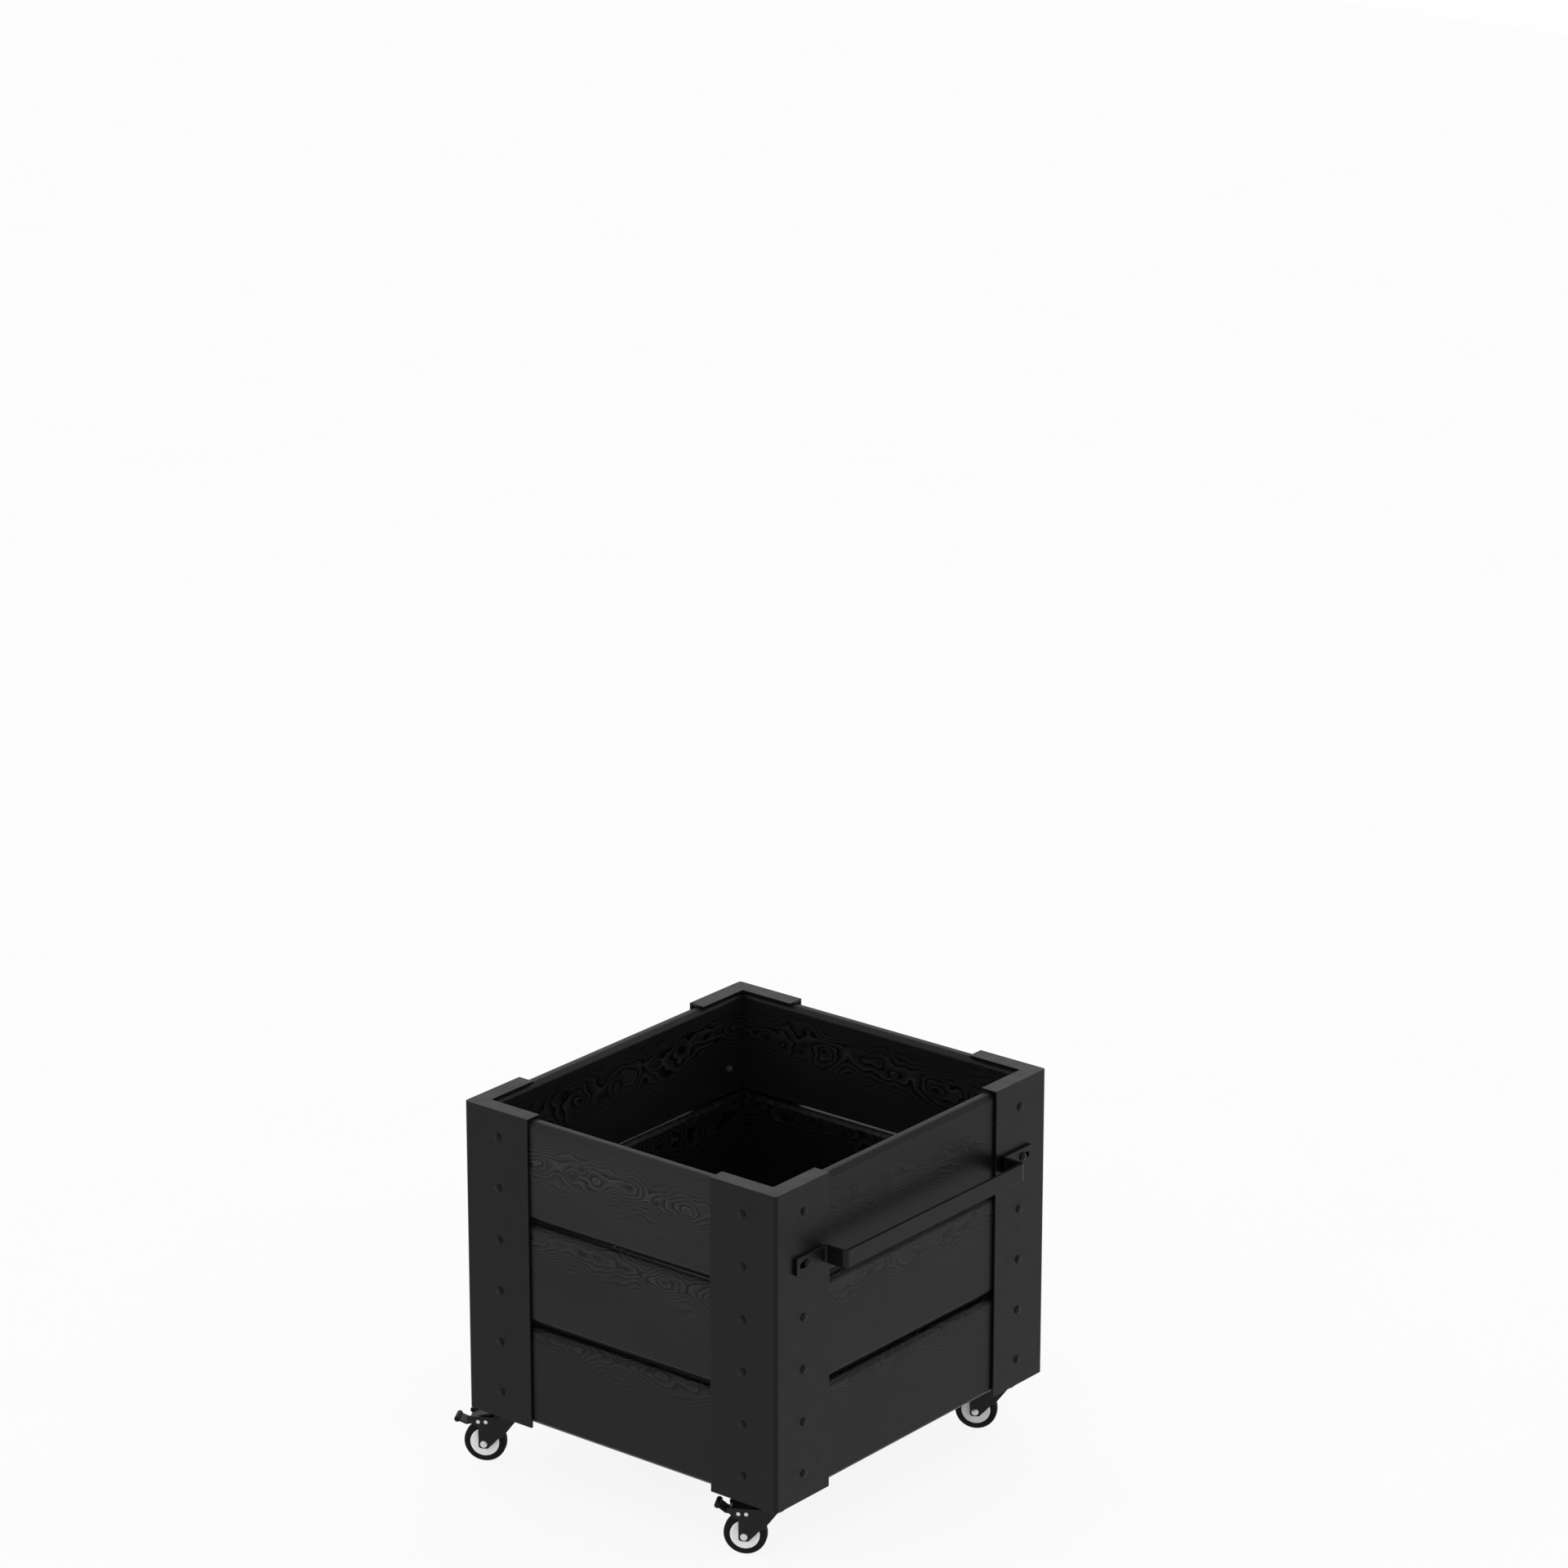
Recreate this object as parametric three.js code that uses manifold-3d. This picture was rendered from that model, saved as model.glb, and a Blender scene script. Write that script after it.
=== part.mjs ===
// Rolling planter: an open square box of stained timber boards held by four folded steel corner
// posts, with a slatted floor, a bent flat-bar handle on each side wall and four swivelling,
// braked casters. Millimetres, +Z up. The origin is on the ground, under the middle of the
// planter's bounding box.
import * as THREE from 'three';
import { mergeVertices } from 'three/addons/utils/BufferGeometryUtils.js';
import Module from 'manifold-3d';

const wasm = await Module();
wasm.setup();

// ---------------------------------------------------------------- driving dimensions (mm)

// Box
const boxWidth = 550; // over the posts' outer faces, along X
const boxDepth = 597; // over the posts' outer faces, along Y
const seat = 0.3; // gap left between two pieces that rest on each other
const headSink = 0.2; // how far a fastener's head is let into the piece that carries it
const boardThickness = 22;
const boardHeight = 145;
const boardGap = 8; // open joint between two boards
const boardsPerWall = 3;
const outerBevel = 6; // 45 degree bevel on a board's outer edges
const innerBevel = 3;

// Corner posts, folded from sheet
const sheet = 4;
const legWidth = 114;
const bendRadius = 5; // outside radius of the vertical fold
const bottomPlateWidth = 84; // horizontal plate inside each post's foot
const footClearance = 0.7; // from the bottom plate up to the lowest board

// Screws that hold the boards to the posts
const screwInset = 59; // from the planter's outer corner, along the wall
const screwEdge = 34.5; // from a board's top and bottom edges
const screwShankRadius = 2.5;
const screwHeadRadius = 6;
const screwHeadHeight = 3.2;
const screwLength = 20; // below the head
const holeClearance = 0.4; // radial, round a fixed shank

// Floor
const bearerWidth = 28;
const bearerHeight = 45;
const bearerEndClearance = 1;
const slatThickness = 22;
const slatWidth = 125;
const slatMinimumGap = 6; // the slats are as many as fit with this much room between them
const slatEndClearance = 2;
const floorScrewRadius = 2;
const floorScrewReach = 23; // below a slat
const floorScrewEdge = 30; // from a slat's long edges

// Handles, each one bent flat bar
const strapThickness = 5;
const strapHeight = 25;
const strapDrop = 112; // from the posts' top down to the strap's centre line
const strapReach = 40; // from the posts' outer face to the strap's front face
const strapBend = 7; // outside bend radius at the front
const strapFootBend = 3; // inside bend radius at the feet
const strapArmInset = 99; // from the planter's corner to an arm's outer face
const strapEndInset = 38; // from the planter's corner to a foot's end
const slotLength = 22;
const slotHeight = 9;
const slotOutset = 4; // the slot's centre lies this far outwards of its bolt
const handleBoltRadius = 4;
const handleBoltHeadRadius = 6.3;
const handleBoltHeadHeight = 4;
const handleBoltEnd = 4; // bolt length past the board's inner face
const handleNutRadius = 6.2;
const handleNutHeight = 7;

// Casters
const casterInset = 40; // from the planter's outer faces to the swivel axis
const casterHeading = 30; // degrees: direction from each wheel to its swivel axis, from +X
const casterPlate = 64;
const casterPlateThickness = 2.5;
const casterPlateCorner = 6;
const casterBoltSpacing = 46;
const casterBoltRadius = 2.8;
const casterBoltHeadRadius = 5;
const casterBoltHeadHeight = 3;
const raceRadius = 19;
const raceHeight = 6.4;
const raceClearance = 0.5;
const kingpinRadius = 4.5;
const kingpinHeadRadius = 7.5;
const kingpinHeadHeight = 3;
const runningClearance = 0.5; // round the kingpin
const wheelRadius = 30;
const axleHeightBelowPost = 55.5; // from the posts' foot down to the axle
const wheelTrail = 35.8; // from the swivel axis back to the axle
const tyreHalfWidth = 8;
const hubRadius = 20.5;
const hubHalfWidth = 8.7;
const hubBossRadius = 7.5;
const hubBossHalfWidth = 12;
const axleRadius = 3;
const axleClearance = 0.4; // between the axle and the hub's bore
const axleCapRadius = 5.2;
const axleCapHeight = 4;
const forkSheet = 2.5;
const forkInnerHalfWidth = 12.5; // from the wheel's middle plane to a leg's inner face
const forkJoggle = 3; // how far the legs step inwards beside the swivel axis
const joggleStart = 15; // from the axle, towards the swivel axis
const joggleEnd = 22;
const forkTopAboveAxle = 41;
const brakePinRadius = 1.8;
const brakePinHeadRadius = 2.9;
const brakePinHeadHeight = 1.4;
const brakePinHeight = 33.5; // above the axle
const brakePivotX = -7.6; // from the axle, along the caster
const brakeStopX = 3.2;
const pedalHalfWidth = 11.5;
const pedalHubRadius = 3.6;
const pedalLipRadius = 4.2;
const pedalLipX = -37.4; // centre of the rolled lip, from the axle
const pedalLipHeight = 41.8;
const pedalPress = 16; // degrees from released to pressed

// Side views of a fork leg and of a released pedal, from the axle: X towards the swivel axis.
const legPoints = [
  [-7.8, -4.5],
  [-5, -7.2],
  [5.6, -7.2],
  [18.6, 6.5],
  [joggleEnd, 9.5],
  [33, 9.5],
  [33, 21.5],
  [47.6, forkTopAboveAxle],
  [-24, forkTopAboveAxle],
  [-24, 36],
  [-14, 27],
  [-7.8, 24],
];
const pedalPoints = [
  [-38.2, 40.8],
  [-26.3, 31.8],
  [-10.6, 31],
  [-4.6, 31.8],
  [-2.6, 36.2],
  [12, 36.2],
  [12, 39.5],
  [9, 41],
  [-18, 41],
  [-24.7, 33.8],
  [-36.6, 42.8],
];

// ---------------------------------------------------------------- derived sizes

const postFoot = wheelRadius + axleHeightBelowPost;
const boardPitch = boardHeight + boardGap;
const wallHeight = boardsPerWall * boardPitch - boardGap;
const postHeight = sheet + footClearance + wallHeight + seat + sheet;
const postTop = postFoot + postHeight;
const boardOuter = sheet + seat; // depth of a board's outer face behind the post's face
const boardInner = boardOuter + boardThickness;
const flangeWidth = boardInner;
const wallTop = postTop - sheet - seat;
const strapHeightCentre = postTop - strapDrop;
const bearerBottom = postFoot + sheet + seat;
const floorBottom = bearerBottom + bearerHeight + seat;
const forkOuterHalfWidth = forkInnerHalfWidth + forkSheet;
const plateBottom = postFoot - seat - casterPlateThickness;
const raceBottom = plateBottom - raceHeight;
const axleHeight = wheelRadius;
const crownBottom = axleHeight + forkTopAboveAxle - forkSheet;
const cupTop = raceBottom - raceClearance - axleHeight; // above the axle

const wallNames = ['front', 'right', 'back', 'left'];
const cornerNames = ['front_left', 'front_right', 'back_right', 'back_left'];
const hasHandle = (wall) => wall % 2 === 1;
const wallLength = (wall) => (wall % 2 === 0 ? boxWidth : boxDepth);
const wallDistance = (wall) => (wall % 2 === 0 ? boxDepth : boxWidth) / 2;
const quarterTurn = Math.PI / 2;

// ---------------------------------------------------------------- materials

function finish(color, roughness, metalness) {
  return new THREE.MeshStandardMaterial({ color, roughness, metalness });
}

const paintedSteel = finish(0x383838, 0.5, 0.2);
const stainedTimber = finish(0x3d3d3d, 0.75, 0);
const casterSteel = finish(0x303030, 0.45, 0.4);
const darkZinc = finish(0x444444, 0.4, 0.7);
const zinc = finish(0xb9b9b9, 0.35, 0.9);
const nylon = finish(0xebebeb, 0.4, 0);
const rubber = finish(0x1e1e1e, 0.8, 0);
const pedalPlastic = finish(0x171717, 0.5, 0);

// ---------------------------------------------------------------- solids

// Positions only, with shared vertices merged and the empty triangles at a lathe's poles removed.
function weld(geometry) {
  const bare = geometry.clone();
  bare.deleteAttribute('normal');
  bare.deleteAttribute('uv');
  const merged = mergeVertices(bare, 1e-4);
  const index = [];
  for (let i = 0; i < merged.index.count; i += 3) {
    const [a, b, c] = [0, 1, 2].map((corner) => merged.index.getX(i + corner));
    if (a !== b && b !== c && c !== a) index.push(a, b, c);
  }
  merged.setIndex(index);
  return merged;
}

function solid(geometry) {
  const welded = weld(geometry);
  return new wasm.Manifold(new wasm.Mesh({
    numProp: 3,
    vertProperties: new Float32Array(welded.attributes.position.array),
    triVerts: new Uint32Array(welded.index.array),
  }));
}

function geometryOf(body) {
  const { vertProperties, triVerts } = body.getMesh();
  const geometry = new THREE.BufferGeometry();
  geometry.setAttribute('position', new THREE.BufferAttribute(new Float32Array(vertProperties), 3));
  geometry.setIndex(new THREE.BufferAttribute(new Uint32Array(triVerts), 1));
  return geometry;
}

const join = (pieces) => geometryOf(pieces.map(solid).reduce((sum, piece) => sum.add(piece)));
const common = (a, b) => geometryOf(solid(a).intersect(solid(b)));

function cut(base, tools) {
  return geometryOf(tools.map(solid).reduce((rest, tool) => rest.subtract(tool), solid(base)));
}

function block([x0, x1], [y0, y1], [z0, z1]) {
  const geometry = new THREE.BoxGeometry(x1 - x0, y1 - y0, z1 - z0);
  return geometry.translate((x0 + x1) / 2, (y0 + y1) / 2, (z0 + z1) / 2);
}

function polygon(points) {
  return new THREE.Shape(points.map(([x, y]) => new THREE.Vector2(x, y)));
}

// A plan outline raised from z0 to z1.
function raised(shape, z0, z1, curveSegments = 4) {
  const geometry = new THREE.ExtrudeGeometry(shape, { depth: z1 - z0, bevelEnabled: false, curveSegments });
  return geometry.translate(0, 0, z0);
}

// An outline drawn in X and Z, carried along Y from y0 to y1.
function sideways(shape, y0, y1, curveSegments = 4) {
  const geometry = new THREE.ExtrudeGeometry(shape, { depth: y1 - y0, bevelEnabled: false, curveSegments });
  return geometry.rotateX(quarterTurn).translate(0, y1, 0);
}

// A section drawn in Y and Z, carried along X from x0 to x1.
function lengthways(shape, x0, x1) {
  const geometry = new THREE.ExtrudeGeometry(shape, { depth: x1 - x0, bevelEnabled: false });
  const axes = new THREE.Matrix4().makeBasis(
    new THREE.Vector3(0, 1, 0),
    new THREE.Vector3(0, 0, 1),
    new THREE.Vector3(1, 0, 0),
  );
  return geometry.applyMatrix4(axes).translate(x0, 0, 0);
}

// A profile of [radius, distance along Y] points turned about the Y axis.
function turned(profile, sides) {
  return new THREE.LatheGeometry(profile.map(([radius, y]) => new THREE.Vector2(radius, y)), sides);
}

// The same, about the Z axis.
const turnedUpright = (profile, sides) => turned(profile, sides).rotateX(quarterTurn);

// A round rod along Y.
const rod = (radius, y0, y1, sides) => turned([[0, y0], [radius, y0], [radius, y1], [0, y1]], sides);

function addPiece(group, name, geometry, material) {
  const shaded = geometry.clone();
  shaded.computeVertexNormals();
  const mesh = new THREE.Mesh(shaded, material);
  mesh.name = name;
  group.add(mesh);
  return mesh;
}

// ---------------------------------------------------------------- walls

// A wall's own frame: X along the wall, to the right as seen from outside, Y from the posts'
// outer face inwards, Z up. Wall 0 is the front, and each next wall is a quarter turn further.
function wallGroup(wall) {
  const group = new THREE.Group();
  group.rotation.z = wall * quarterTurn;
  group.position.set(0, -wallDistance(wall), 0).applyEuler(group.rotation);
  return group;
}

const boardTop = (row) => wallTop - row * boardPitch;

// Heights of the two fasteners that cross a board, the upper one first.
const screwHeights = (row) => [boardTop(row) - screwEdge, boardTop(row) - boardHeight + screwEdge];

// The handle's bolt takes the place of the top board's lower screw.
const isHandleBolt = (wall, row, place) => hasHandle(wall) && row === 0 && place === 1;

// Every fastener along one end of a wall, as {z, bolt}.
function fastenersOf(wall) {
  const places = [];
  for (let row = 0; row < boardsPerWall; row += 1) {
    screwHeights(row).forEach((height, place) => {
      const bolt = isHandleBolt(wall, row, place);
      places.push({ row, bolt, z: bolt ? strapHeightCentre : height });
    });
  }
  return places;
}

const fastenerAcross = (wall) => [-1, 1].map((end) => end * (wallLength(wall) / 2 - screwInset));

function boardSection(top) {
  const [outer, inner] = [boardOuter, boardInner];
  const bottom = top - boardHeight;
  return polygon([
    [outer + outerBevel, top],
    [outer, top - outerBevel],
    [outer, bottom + outerBevel],
    [outer + outerBevel, bottom],
    [inner - innerBevel, bottom],
    [inner, bottom + innerBevel],
    [inner, top - innerBevel],
    [inner - innerBevel, top],
  ]);
}

// Side walls run from post to post; front and back boards fit between them.
function boardHalfLength(wall) {
  const endRecess = wall % 2 === 0 ? boardInner + seat : boardOuter;
  return wallLength(wall) / 2 - endRecess;
}

function makeBoard(wall, row) {
  const half = boardHalfLength(wall);
  const plank = lengthways(boardSection(boardTop(row)), -half, half);
  const holes = [];
  for (const x of fastenerAcross(wall)) {
    for (const { bolt, z } of fastenersOf(wall).filter((place) => place.row === row)) {
      const radius = (bolt ? handleBoltRadius : screwShankRadius) + holeClearance;
      const depth = bolt ? boardInner + 1 : screwLength + 1;
      holes.push(rod(radius, boardOuter - 1, depth, 8).translate(x, 0, z));
    }
  }
  return cut(plank, holes);
}

// ---------------------------------------------------------------- outlines in plan

// A plan outline whose outer corner, at the origin, is rounded by the fold.
function cornerPlan(points) {
  const shape = new THREE.Shape();
  shape.moveTo(bendRadius, 0);
  points.forEach(([x, y]) => shape.lineTo(x, y));
  shape.lineTo(0, bendRadius);
  shape.absarc(bendRadius, bendRadius, bendRadius, Math.PI, 1.5 * Math.PI, false);
  return shape;
}

// An L with legs along +X and +Y.
const anglePlan = (width) => cornerPlan([
  [legWidth, 0],
  [legWidth, width],
  [width, width],
  [width, legWidth],
  [0, legWidth],
]);

const bottomPlan = cornerPlan([
  [bottomPlateWidth, 0],
  [bottomPlateWidth, bottomPlateWidth],
  [0, bottomPlateWidth],
]);

// The four bolt places of a caster plate, round its swivel axis.
function casterBoltPlaces() {
  const half = casterBoltSpacing / 2;
  return [[-half, -half], [half, -half], [half, half], [-half, half]];
}

// ---------------------------------------------------------------- posts and fasteners

// Round-headed, along +Y from the underside of the head at y = 0.
function makeRoundHead(headRadius, headHeight, shankRadius, length, sides) {
  return turned([
    [0, -headHeight],
    [0.7 * headRadius, -0.7 * headHeight],
    [headRadius, 0],
    [shankRadius, 0],
    [shankRadius, length],
    [0, length],
  ], sides);
}

// Each screw is one with the piece that its head sits on, so the head starts a little inside it.
const postScrew = makeRoundHead(screwHeadRadius, screwHeadHeight, screwShankRadius, screwLength, 8);
postScrew.translate(0, headSink, 0);

const strapFace = -strapThickness - seat; // outer face of a handle's foot, in the wall's frame

function makeHandleBolt() {
  const length = boardInner + handleBoltEnd - strapFace;
  return makeRoundHead(handleBoltHeadRadius, handleBoltHeadHeight, handleBoltRadius, length, 10);
}

// Domed nut on the board's inner face, bored for the bolt's end.
function makeHandleNut() {
  const bore = handleBoltRadius + holeClearance;
  return turned([
    [0, 0.5 + handleBoltEnd],
    [bore, 0.5 + handleBoltEnd],
    [bore, 0],
    [handleNutRadius, 0],
    [handleNutRadius, 0.6 * handleNutHeight],
    [0.6 * handleNutRadius, handleNutHeight],
    [0, handleNutHeight],
  ], 10);
}

const boltHole = rod(handleBoltRadius + holeClearance, -1, sheet + 1, 8);
const casterBoltHole = rod(casterBoltRadius + holeClearance, -1, sheet + 1, 8).rotateX(quarterTurn);

// A post in its own frame, with the outer corner at the origin, and the screws that it carries.
// Its X leg is on the wall of the same number, its Y leg on the wall before.
function makePost(wall) {
  const pieces = [
    raised(anglePlan(sheet), postFoot, postTop),
    raised(anglePlan(flangeWidth), postTop - sheet, postTop),
    raised(bottomPlan, postFoot, postFoot + sheet),
  ];
  const holes = [];
  for (const { bolt, z } of fastenersOf(wall)) {
    const place = [screwInset, 0, z];
    if (bolt) holes.push(boltHole.clone().translate(...place));
    else pieces.push(postScrew.clone().translate(...place));
  }
  for (const { bolt, z } of fastenersOf((wall + 3) % 4)) {
    const place = [0, screwInset, z];
    if (bolt) holes.push(boltHole.clone().rotateZ(-quarterTurn).translate(...place));
    else pieces.push(postScrew.clone().rotateZ(-quarterTurn).translate(...place));
  }
  for (const [x, y] of casterBoltPlaces()) {
    holes.push(casterBoltHole.clone().translate(casterInset + x, casterInset + y, postFoot));
  }
  return cut(join(pieces), holes);
}

// ---------------------------------------------------------------- handles

// Plan of the bent strap in the wall's frame, front face at y = -strapReach.
function strapPlan(wall) {
  const arm = wallLength(wall) / 2 - strapArmInset;
  const end = wallLength(wall) / 2 - strapEndInset;
  const front = -strapReach;
  const footBack = -seat;
  const innerArm = arm - strapThickness;
  const innerBend = strapBend - strapThickness;
  const outerFoot = strapFootBend + strapThickness;
  const shape = new THREE.Shape();
  shape.moveTo(-arm + strapBend, front);
  shape.lineTo(arm - strapBend, front);
  shape.absarc(arm - strapBend, front + strapBend, strapBend, -quarterTurn, 0, false);
  shape.lineTo(arm, strapFace - strapFootBend);
  shape.absarc(arm + strapFootBend, strapFace - strapFootBend, strapFootBend, Math.PI, quarterTurn, true);
  shape.lineTo(end, strapFace);
  shape.lineTo(end, footBack);
  shape.lineTo(innerArm + outerFoot, footBack);
  shape.absarc(innerArm + outerFoot, footBack - outerFoot, outerFoot, quarterTurn, Math.PI, false);
  shape.lineTo(innerArm, front + strapBend);
  shape.absarc(innerArm - innerBend, front + strapBend, innerBend, 0, -quarterTurn, true);
  shape.lineTo(-innerArm + innerBend, front + strapThickness);
  shape.absarc(-innerArm + innerBend, front + strapBend, innerBend, -quarterTurn, -Math.PI, true);
  shape.lineTo(-innerArm, footBack - outerFoot);
  shape.absarc(-innerArm - outerFoot, footBack - outerFoot, outerFoot, 0, quarterTurn, false);
  shape.lineTo(-end, footBack);
  shape.lineTo(-end, strapFace);
  shape.lineTo(-arm - strapFootBend, strapFace);
  shape.absarc(-arm - strapFootBend, strapFace - strapFootBend, strapFootBend, quarterTurn, 0, true);
  shape.lineTo(-arm, front + strapBend);
  shape.absarc(-arm + strapBend, front + strapBend, strapBend, Math.PI, 1.5 * Math.PI, false);
  return shape;
}

// A round-ended slot along X.
function slotOutline(length, height) {
  const run = (length - height) / 2;
  const shape = new THREE.Shape();
  shape.moveTo(-run, -height / 2);
  shape.lineTo(run, -height / 2);
  shape.absarc(run, 0, height / 2, -quarterTurn, quarterTurn, false);
  shape.lineTo(-run, height / 2);
  shape.absarc(-run, 0, height / 2, quarterTurn, 3 * quarterTurn, false);
  return shape;
}

function makeHandle(wall) {
  const z0 = strapHeightCentre - strapHeight / 2;
  const strap = raised(strapPlan(wall), z0, z0 + strapHeight, 3);
  const slots = [-1, 1].map((end) => {
    const x = end * (wallLength(wall) / 2 - screwInset + slotOutset);
    const slot = sideways(slotOutline(slotLength, slotHeight), strapFace - 1, 1, 3);
    return slot.translate(x, 0, strapHeightCentre);
  });
  return cut(strap, slots);
}

// ---------------------------------------------------------------- floor

const bearerCentre = boxWidth / 2 - boardInner - seat - bearerWidth / 2;

// Centre line of each slat, spread evenly between the front and back walls.
function slatCentres() {
  const inside = boxDepth - 2 * boardInner;
  const count = Math.floor((inside - slatMinimumGap) / (slatWidth + slatMinimumGap));
  const gap = (inside - count * slatWidth) / (count + 1);
  const first = -inside / 2 + gap + slatWidth / 2;
  return Array.from({ length: count }, (_, slat) => first + slat * (slatWidth + gap));
}

function floorScrewPlaces() {
  const places = [];
  for (const side of [-1, 1]) {
    for (const centre of slatCentres()) {
      for (const edge of [-1, 1]) {
        places.push([side * bearerCentre, centre + edge * (slatWidth / 2 - floorScrewEdge)]);
      }
    }
  }
  return places;
}

const floorTop = floorBottom + slatThickness;

function makeBearer(side) {
  const half = boxDepth / 2 - boardInner - bearerEndClearance;
  const x = side * bearerCentre;
  const beam = block(
    [x - bearerWidth / 2, x + bearerWidth / 2],
    [-half, half],
    [bearerBottom, bearerBottom + bearerHeight],
  );
  const hole = rod(floorScrewRadius + holeClearance, -floorScrewReach - 1, 1, 8).rotateX(quarterTurn);
  const own = floorScrewPlaces().filter(([placeX]) => placeX === x);
  return cut(beam, own.map(([px, py]) => hole.clone().translate(px, py, floorBottom)));
}

// A slat with the four screws, sunk flush with its top, that hold it to the bearers.
function makeSlat(centre) {
  const half = boxWidth / 2 - boardInner - slatEndClearance;
  const [y0, y1] = [centre - slatWidth / 2, centre + slatWidth / 2];
  const slat = block([-half, half], [y0, y1], [floorBottom, floorTop]);
  const screw = rod(floorScrewRadius, -floorScrewReach, slatThickness / 2, 8).rotateX(quarterTurn);
  const own = floorScrewPlaces().filter(([, y]) => y > y0 && y < y1);
  return join([slat, ...own.map(([px, py]) => screw.clone().translate(px, py, floorBottom))]);
}

// ---------------------------------------------------------------- casters

function roundedSquare(size, corner) {
  const half = size / 2;
  const run = half - corner;
  const shape = new THREE.Shape();
  shape.moveTo(-run, -half);
  shape.lineTo(run, -half);
  shape.absarc(run, -run, corner, -quarterTurn, 0, false);
  shape.lineTo(half, run);
  shape.absarc(run, run, corner, 0, quarterTurn, false);
  shape.lineTo(-run, half);
  shape.absarc(-run, run, corner, quarterTurn, Math.PI, false);
  shape.lineTo(-half, -run);
  shape.absarc(-run, -run, corner, Math.PI, 1.5 * Math.PI, false);
  return shape;
}

// Top plate with the upper ball race, the riveted kingpin and the four bolts that hold it under
// the post's bottom plate, about the swivel axis.
function makeCasterPlate() {
  const plate = raised(roundedSquare(casterPlate, casterPlateCorner), plateBottom, postFoot - seat, 2);
  const race = turnedUpright([
    [0, raceBottom],
    [raceRadius - 2, raceBottom],
    [raceRadius, raceBottom + 2],
    [raceRadius, plateBottom + 1],
    [0, plateBottom + 1],
  ], 18);
  const rivetTop = crownBottom - raceClearance;
  const kingpin = turnedUpright([
    [0, rivetTop - kingpinHeadHeight],
    [kingpinHeadRadius, rivetTop - kingpinHeadHeight],
    [kingpinHeadRadius, rivetTop],
    [kingpinRadius, rivetTop],
    [kingpinRadius, plateBottom],
    [0, plateBottom],
  ], 10);
  const boltLength = casterPlateThickness + seat + sheet - headSink;
  const bolt = makeRoundHead(casterBoltHeadRadius, casterBoltHeadHeight, casterBoltRadius, boltLength, 6);
  bolt.rotateX(quarterTurn).translate(0, 0, plateBottom + headSink);
  const bolts = casterBoltPlaces().map(([x, y]) => bolt.clone().translate(x, y, 0));
  return join([plate, race, kingpin, ...bolts]);
}

// The pieces below are drawn about the axle: X towards the swivel axis, Z up.

// Plan of a leg's sheet, stepping inwards beside the swivel axis.
function legPlan(side) {
  const start = -wheelTrail;
  const end = 2 * wheelTrail;
  return polygon([
    [start, forkInnerHalfWidth],
    [joggleStart, forkInnerHalfWidth],
    [joggleEnd, forkInnerHalfWidth - forkJoggle],
    [end, forkInnerHalfWidth - forkJoggle],
    [end, forkOuterHalfWidth - forkJoggle],
    [joggleEnd, forkOuterHalfWidth - forkJoggle],
    [joggleStart, forkOuterHalfWidth],
    [start, forkOuterHalfWidth],
  ].map(([x, y]) => [x, side * y]));
}

// Top of the fork between the legs, from the joggle to the swivel axis.
const crownPlan = polygon([
  [joggleStart, -forkOuterHalfWidth],
  [joggleEnd, forkJoggle - forkOuterHalfWidth],
  [wheelTrail, forkJoggle - forkOuterHalfWidth],
  [wheelTrail, forkOuterHalfWidth - forkJoggle],
  [joggleEnd, forkOuterHalfWidth - forkJoggle],
  [joggleStart, forkOuterHalfWidth],
]);

// A pin across the fork with a round head on each side, whose undersides are at y = under.
function makeCrossPin(radius, headRadius, headHeight, under, sides) {
  return turned([
    [0, -under - headHeight],
    [0.7 * headRadius, -under - 0.7 * headHeight],
    [headRadius, -under],
    [radius, -under],
    [radius, under],
    [headRadius, under],
    [0.7 * headRadius, under + 0.7 * headHeight],
    [0, under + headHeight],
  ], sides);
}

const loosePinUnder = forkOuterHalfWidth + seat;
const fixedPinUnder = forkOuterHalfWidth - headSink;
const brakePin = (under) => makeCrossPin(brakePinRadius, brakePinHeadRadius, brakePinHeadHeight, under, 8);

// Two joggled legs, the crown, the lower race cup and the riveted stop pin of the brake.
function makeFork() {
  const span = forkOuterHalfWidth + 1;
  const height = 2 * forkTopAboveAxle;
  const legs = [-1, 1].map((side) => common(
    sideways(polygon(legPoints), -span, span),
    raised(legPlan(side), -height, height),
  ));
  const crown = raised(crownPlan, forkTopAboveAxle - forkSheet, forkTopAboveAxle);
  const cup = turnedUpright([
    [0, forkTopAboveAxle - forkSheet],
    [raceRadius, forkTopAboveAxle - forkSheet],
    [raceRadius, cupTop - 1.5],
    [raceRadius - 1.5, cupTop],
    [0, cupTop],
  ], 18).translate(wheelTrail, 0, 0);
  const stopPin = brakePin(fixedPinUnder).translate(brakeStopX, 0, brakePinHeight);
  const bore = turnedUpright([
    [0, 0],
    [kingpinRadius + runningClearance, 0],
    [kingpinRadius + runningClearance, cupTop + 1],
    [0, cupTop + 1],
  ], 10).translate(wheelTrail, 0, 0);
  const axleHole = rod(axleRadius + holeClearance, -span, span, 10);
  const pivotHole = rod(brakePinRadius + holeClearance, -span, span, 8);
  pivotHole.translate(brakePivotX, 0, brakePinHeight);
  return cut(join([...legs, crown, cup, stopPin]), [bore, axleHole, pivotHole]);
}

// Wheel centre: a boss on the axle inside a flat disc.
function makeHub() {
  const bore = axleRadius + axleClearance;
  const half = [
    [bore, hubBossHalfWidth],
    [hubBossRadius, hubBossHalfWidth],
    [hubBossRadius, hubHalfWidth],
    [hubRadius, hubHalfWidth],
  ];
  const mirrored = half.map(([radius, y]) => [radius, -y]);
  return turned([...mirrored, ...half.reverse(), mirrored[0]], 24);
}

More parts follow.
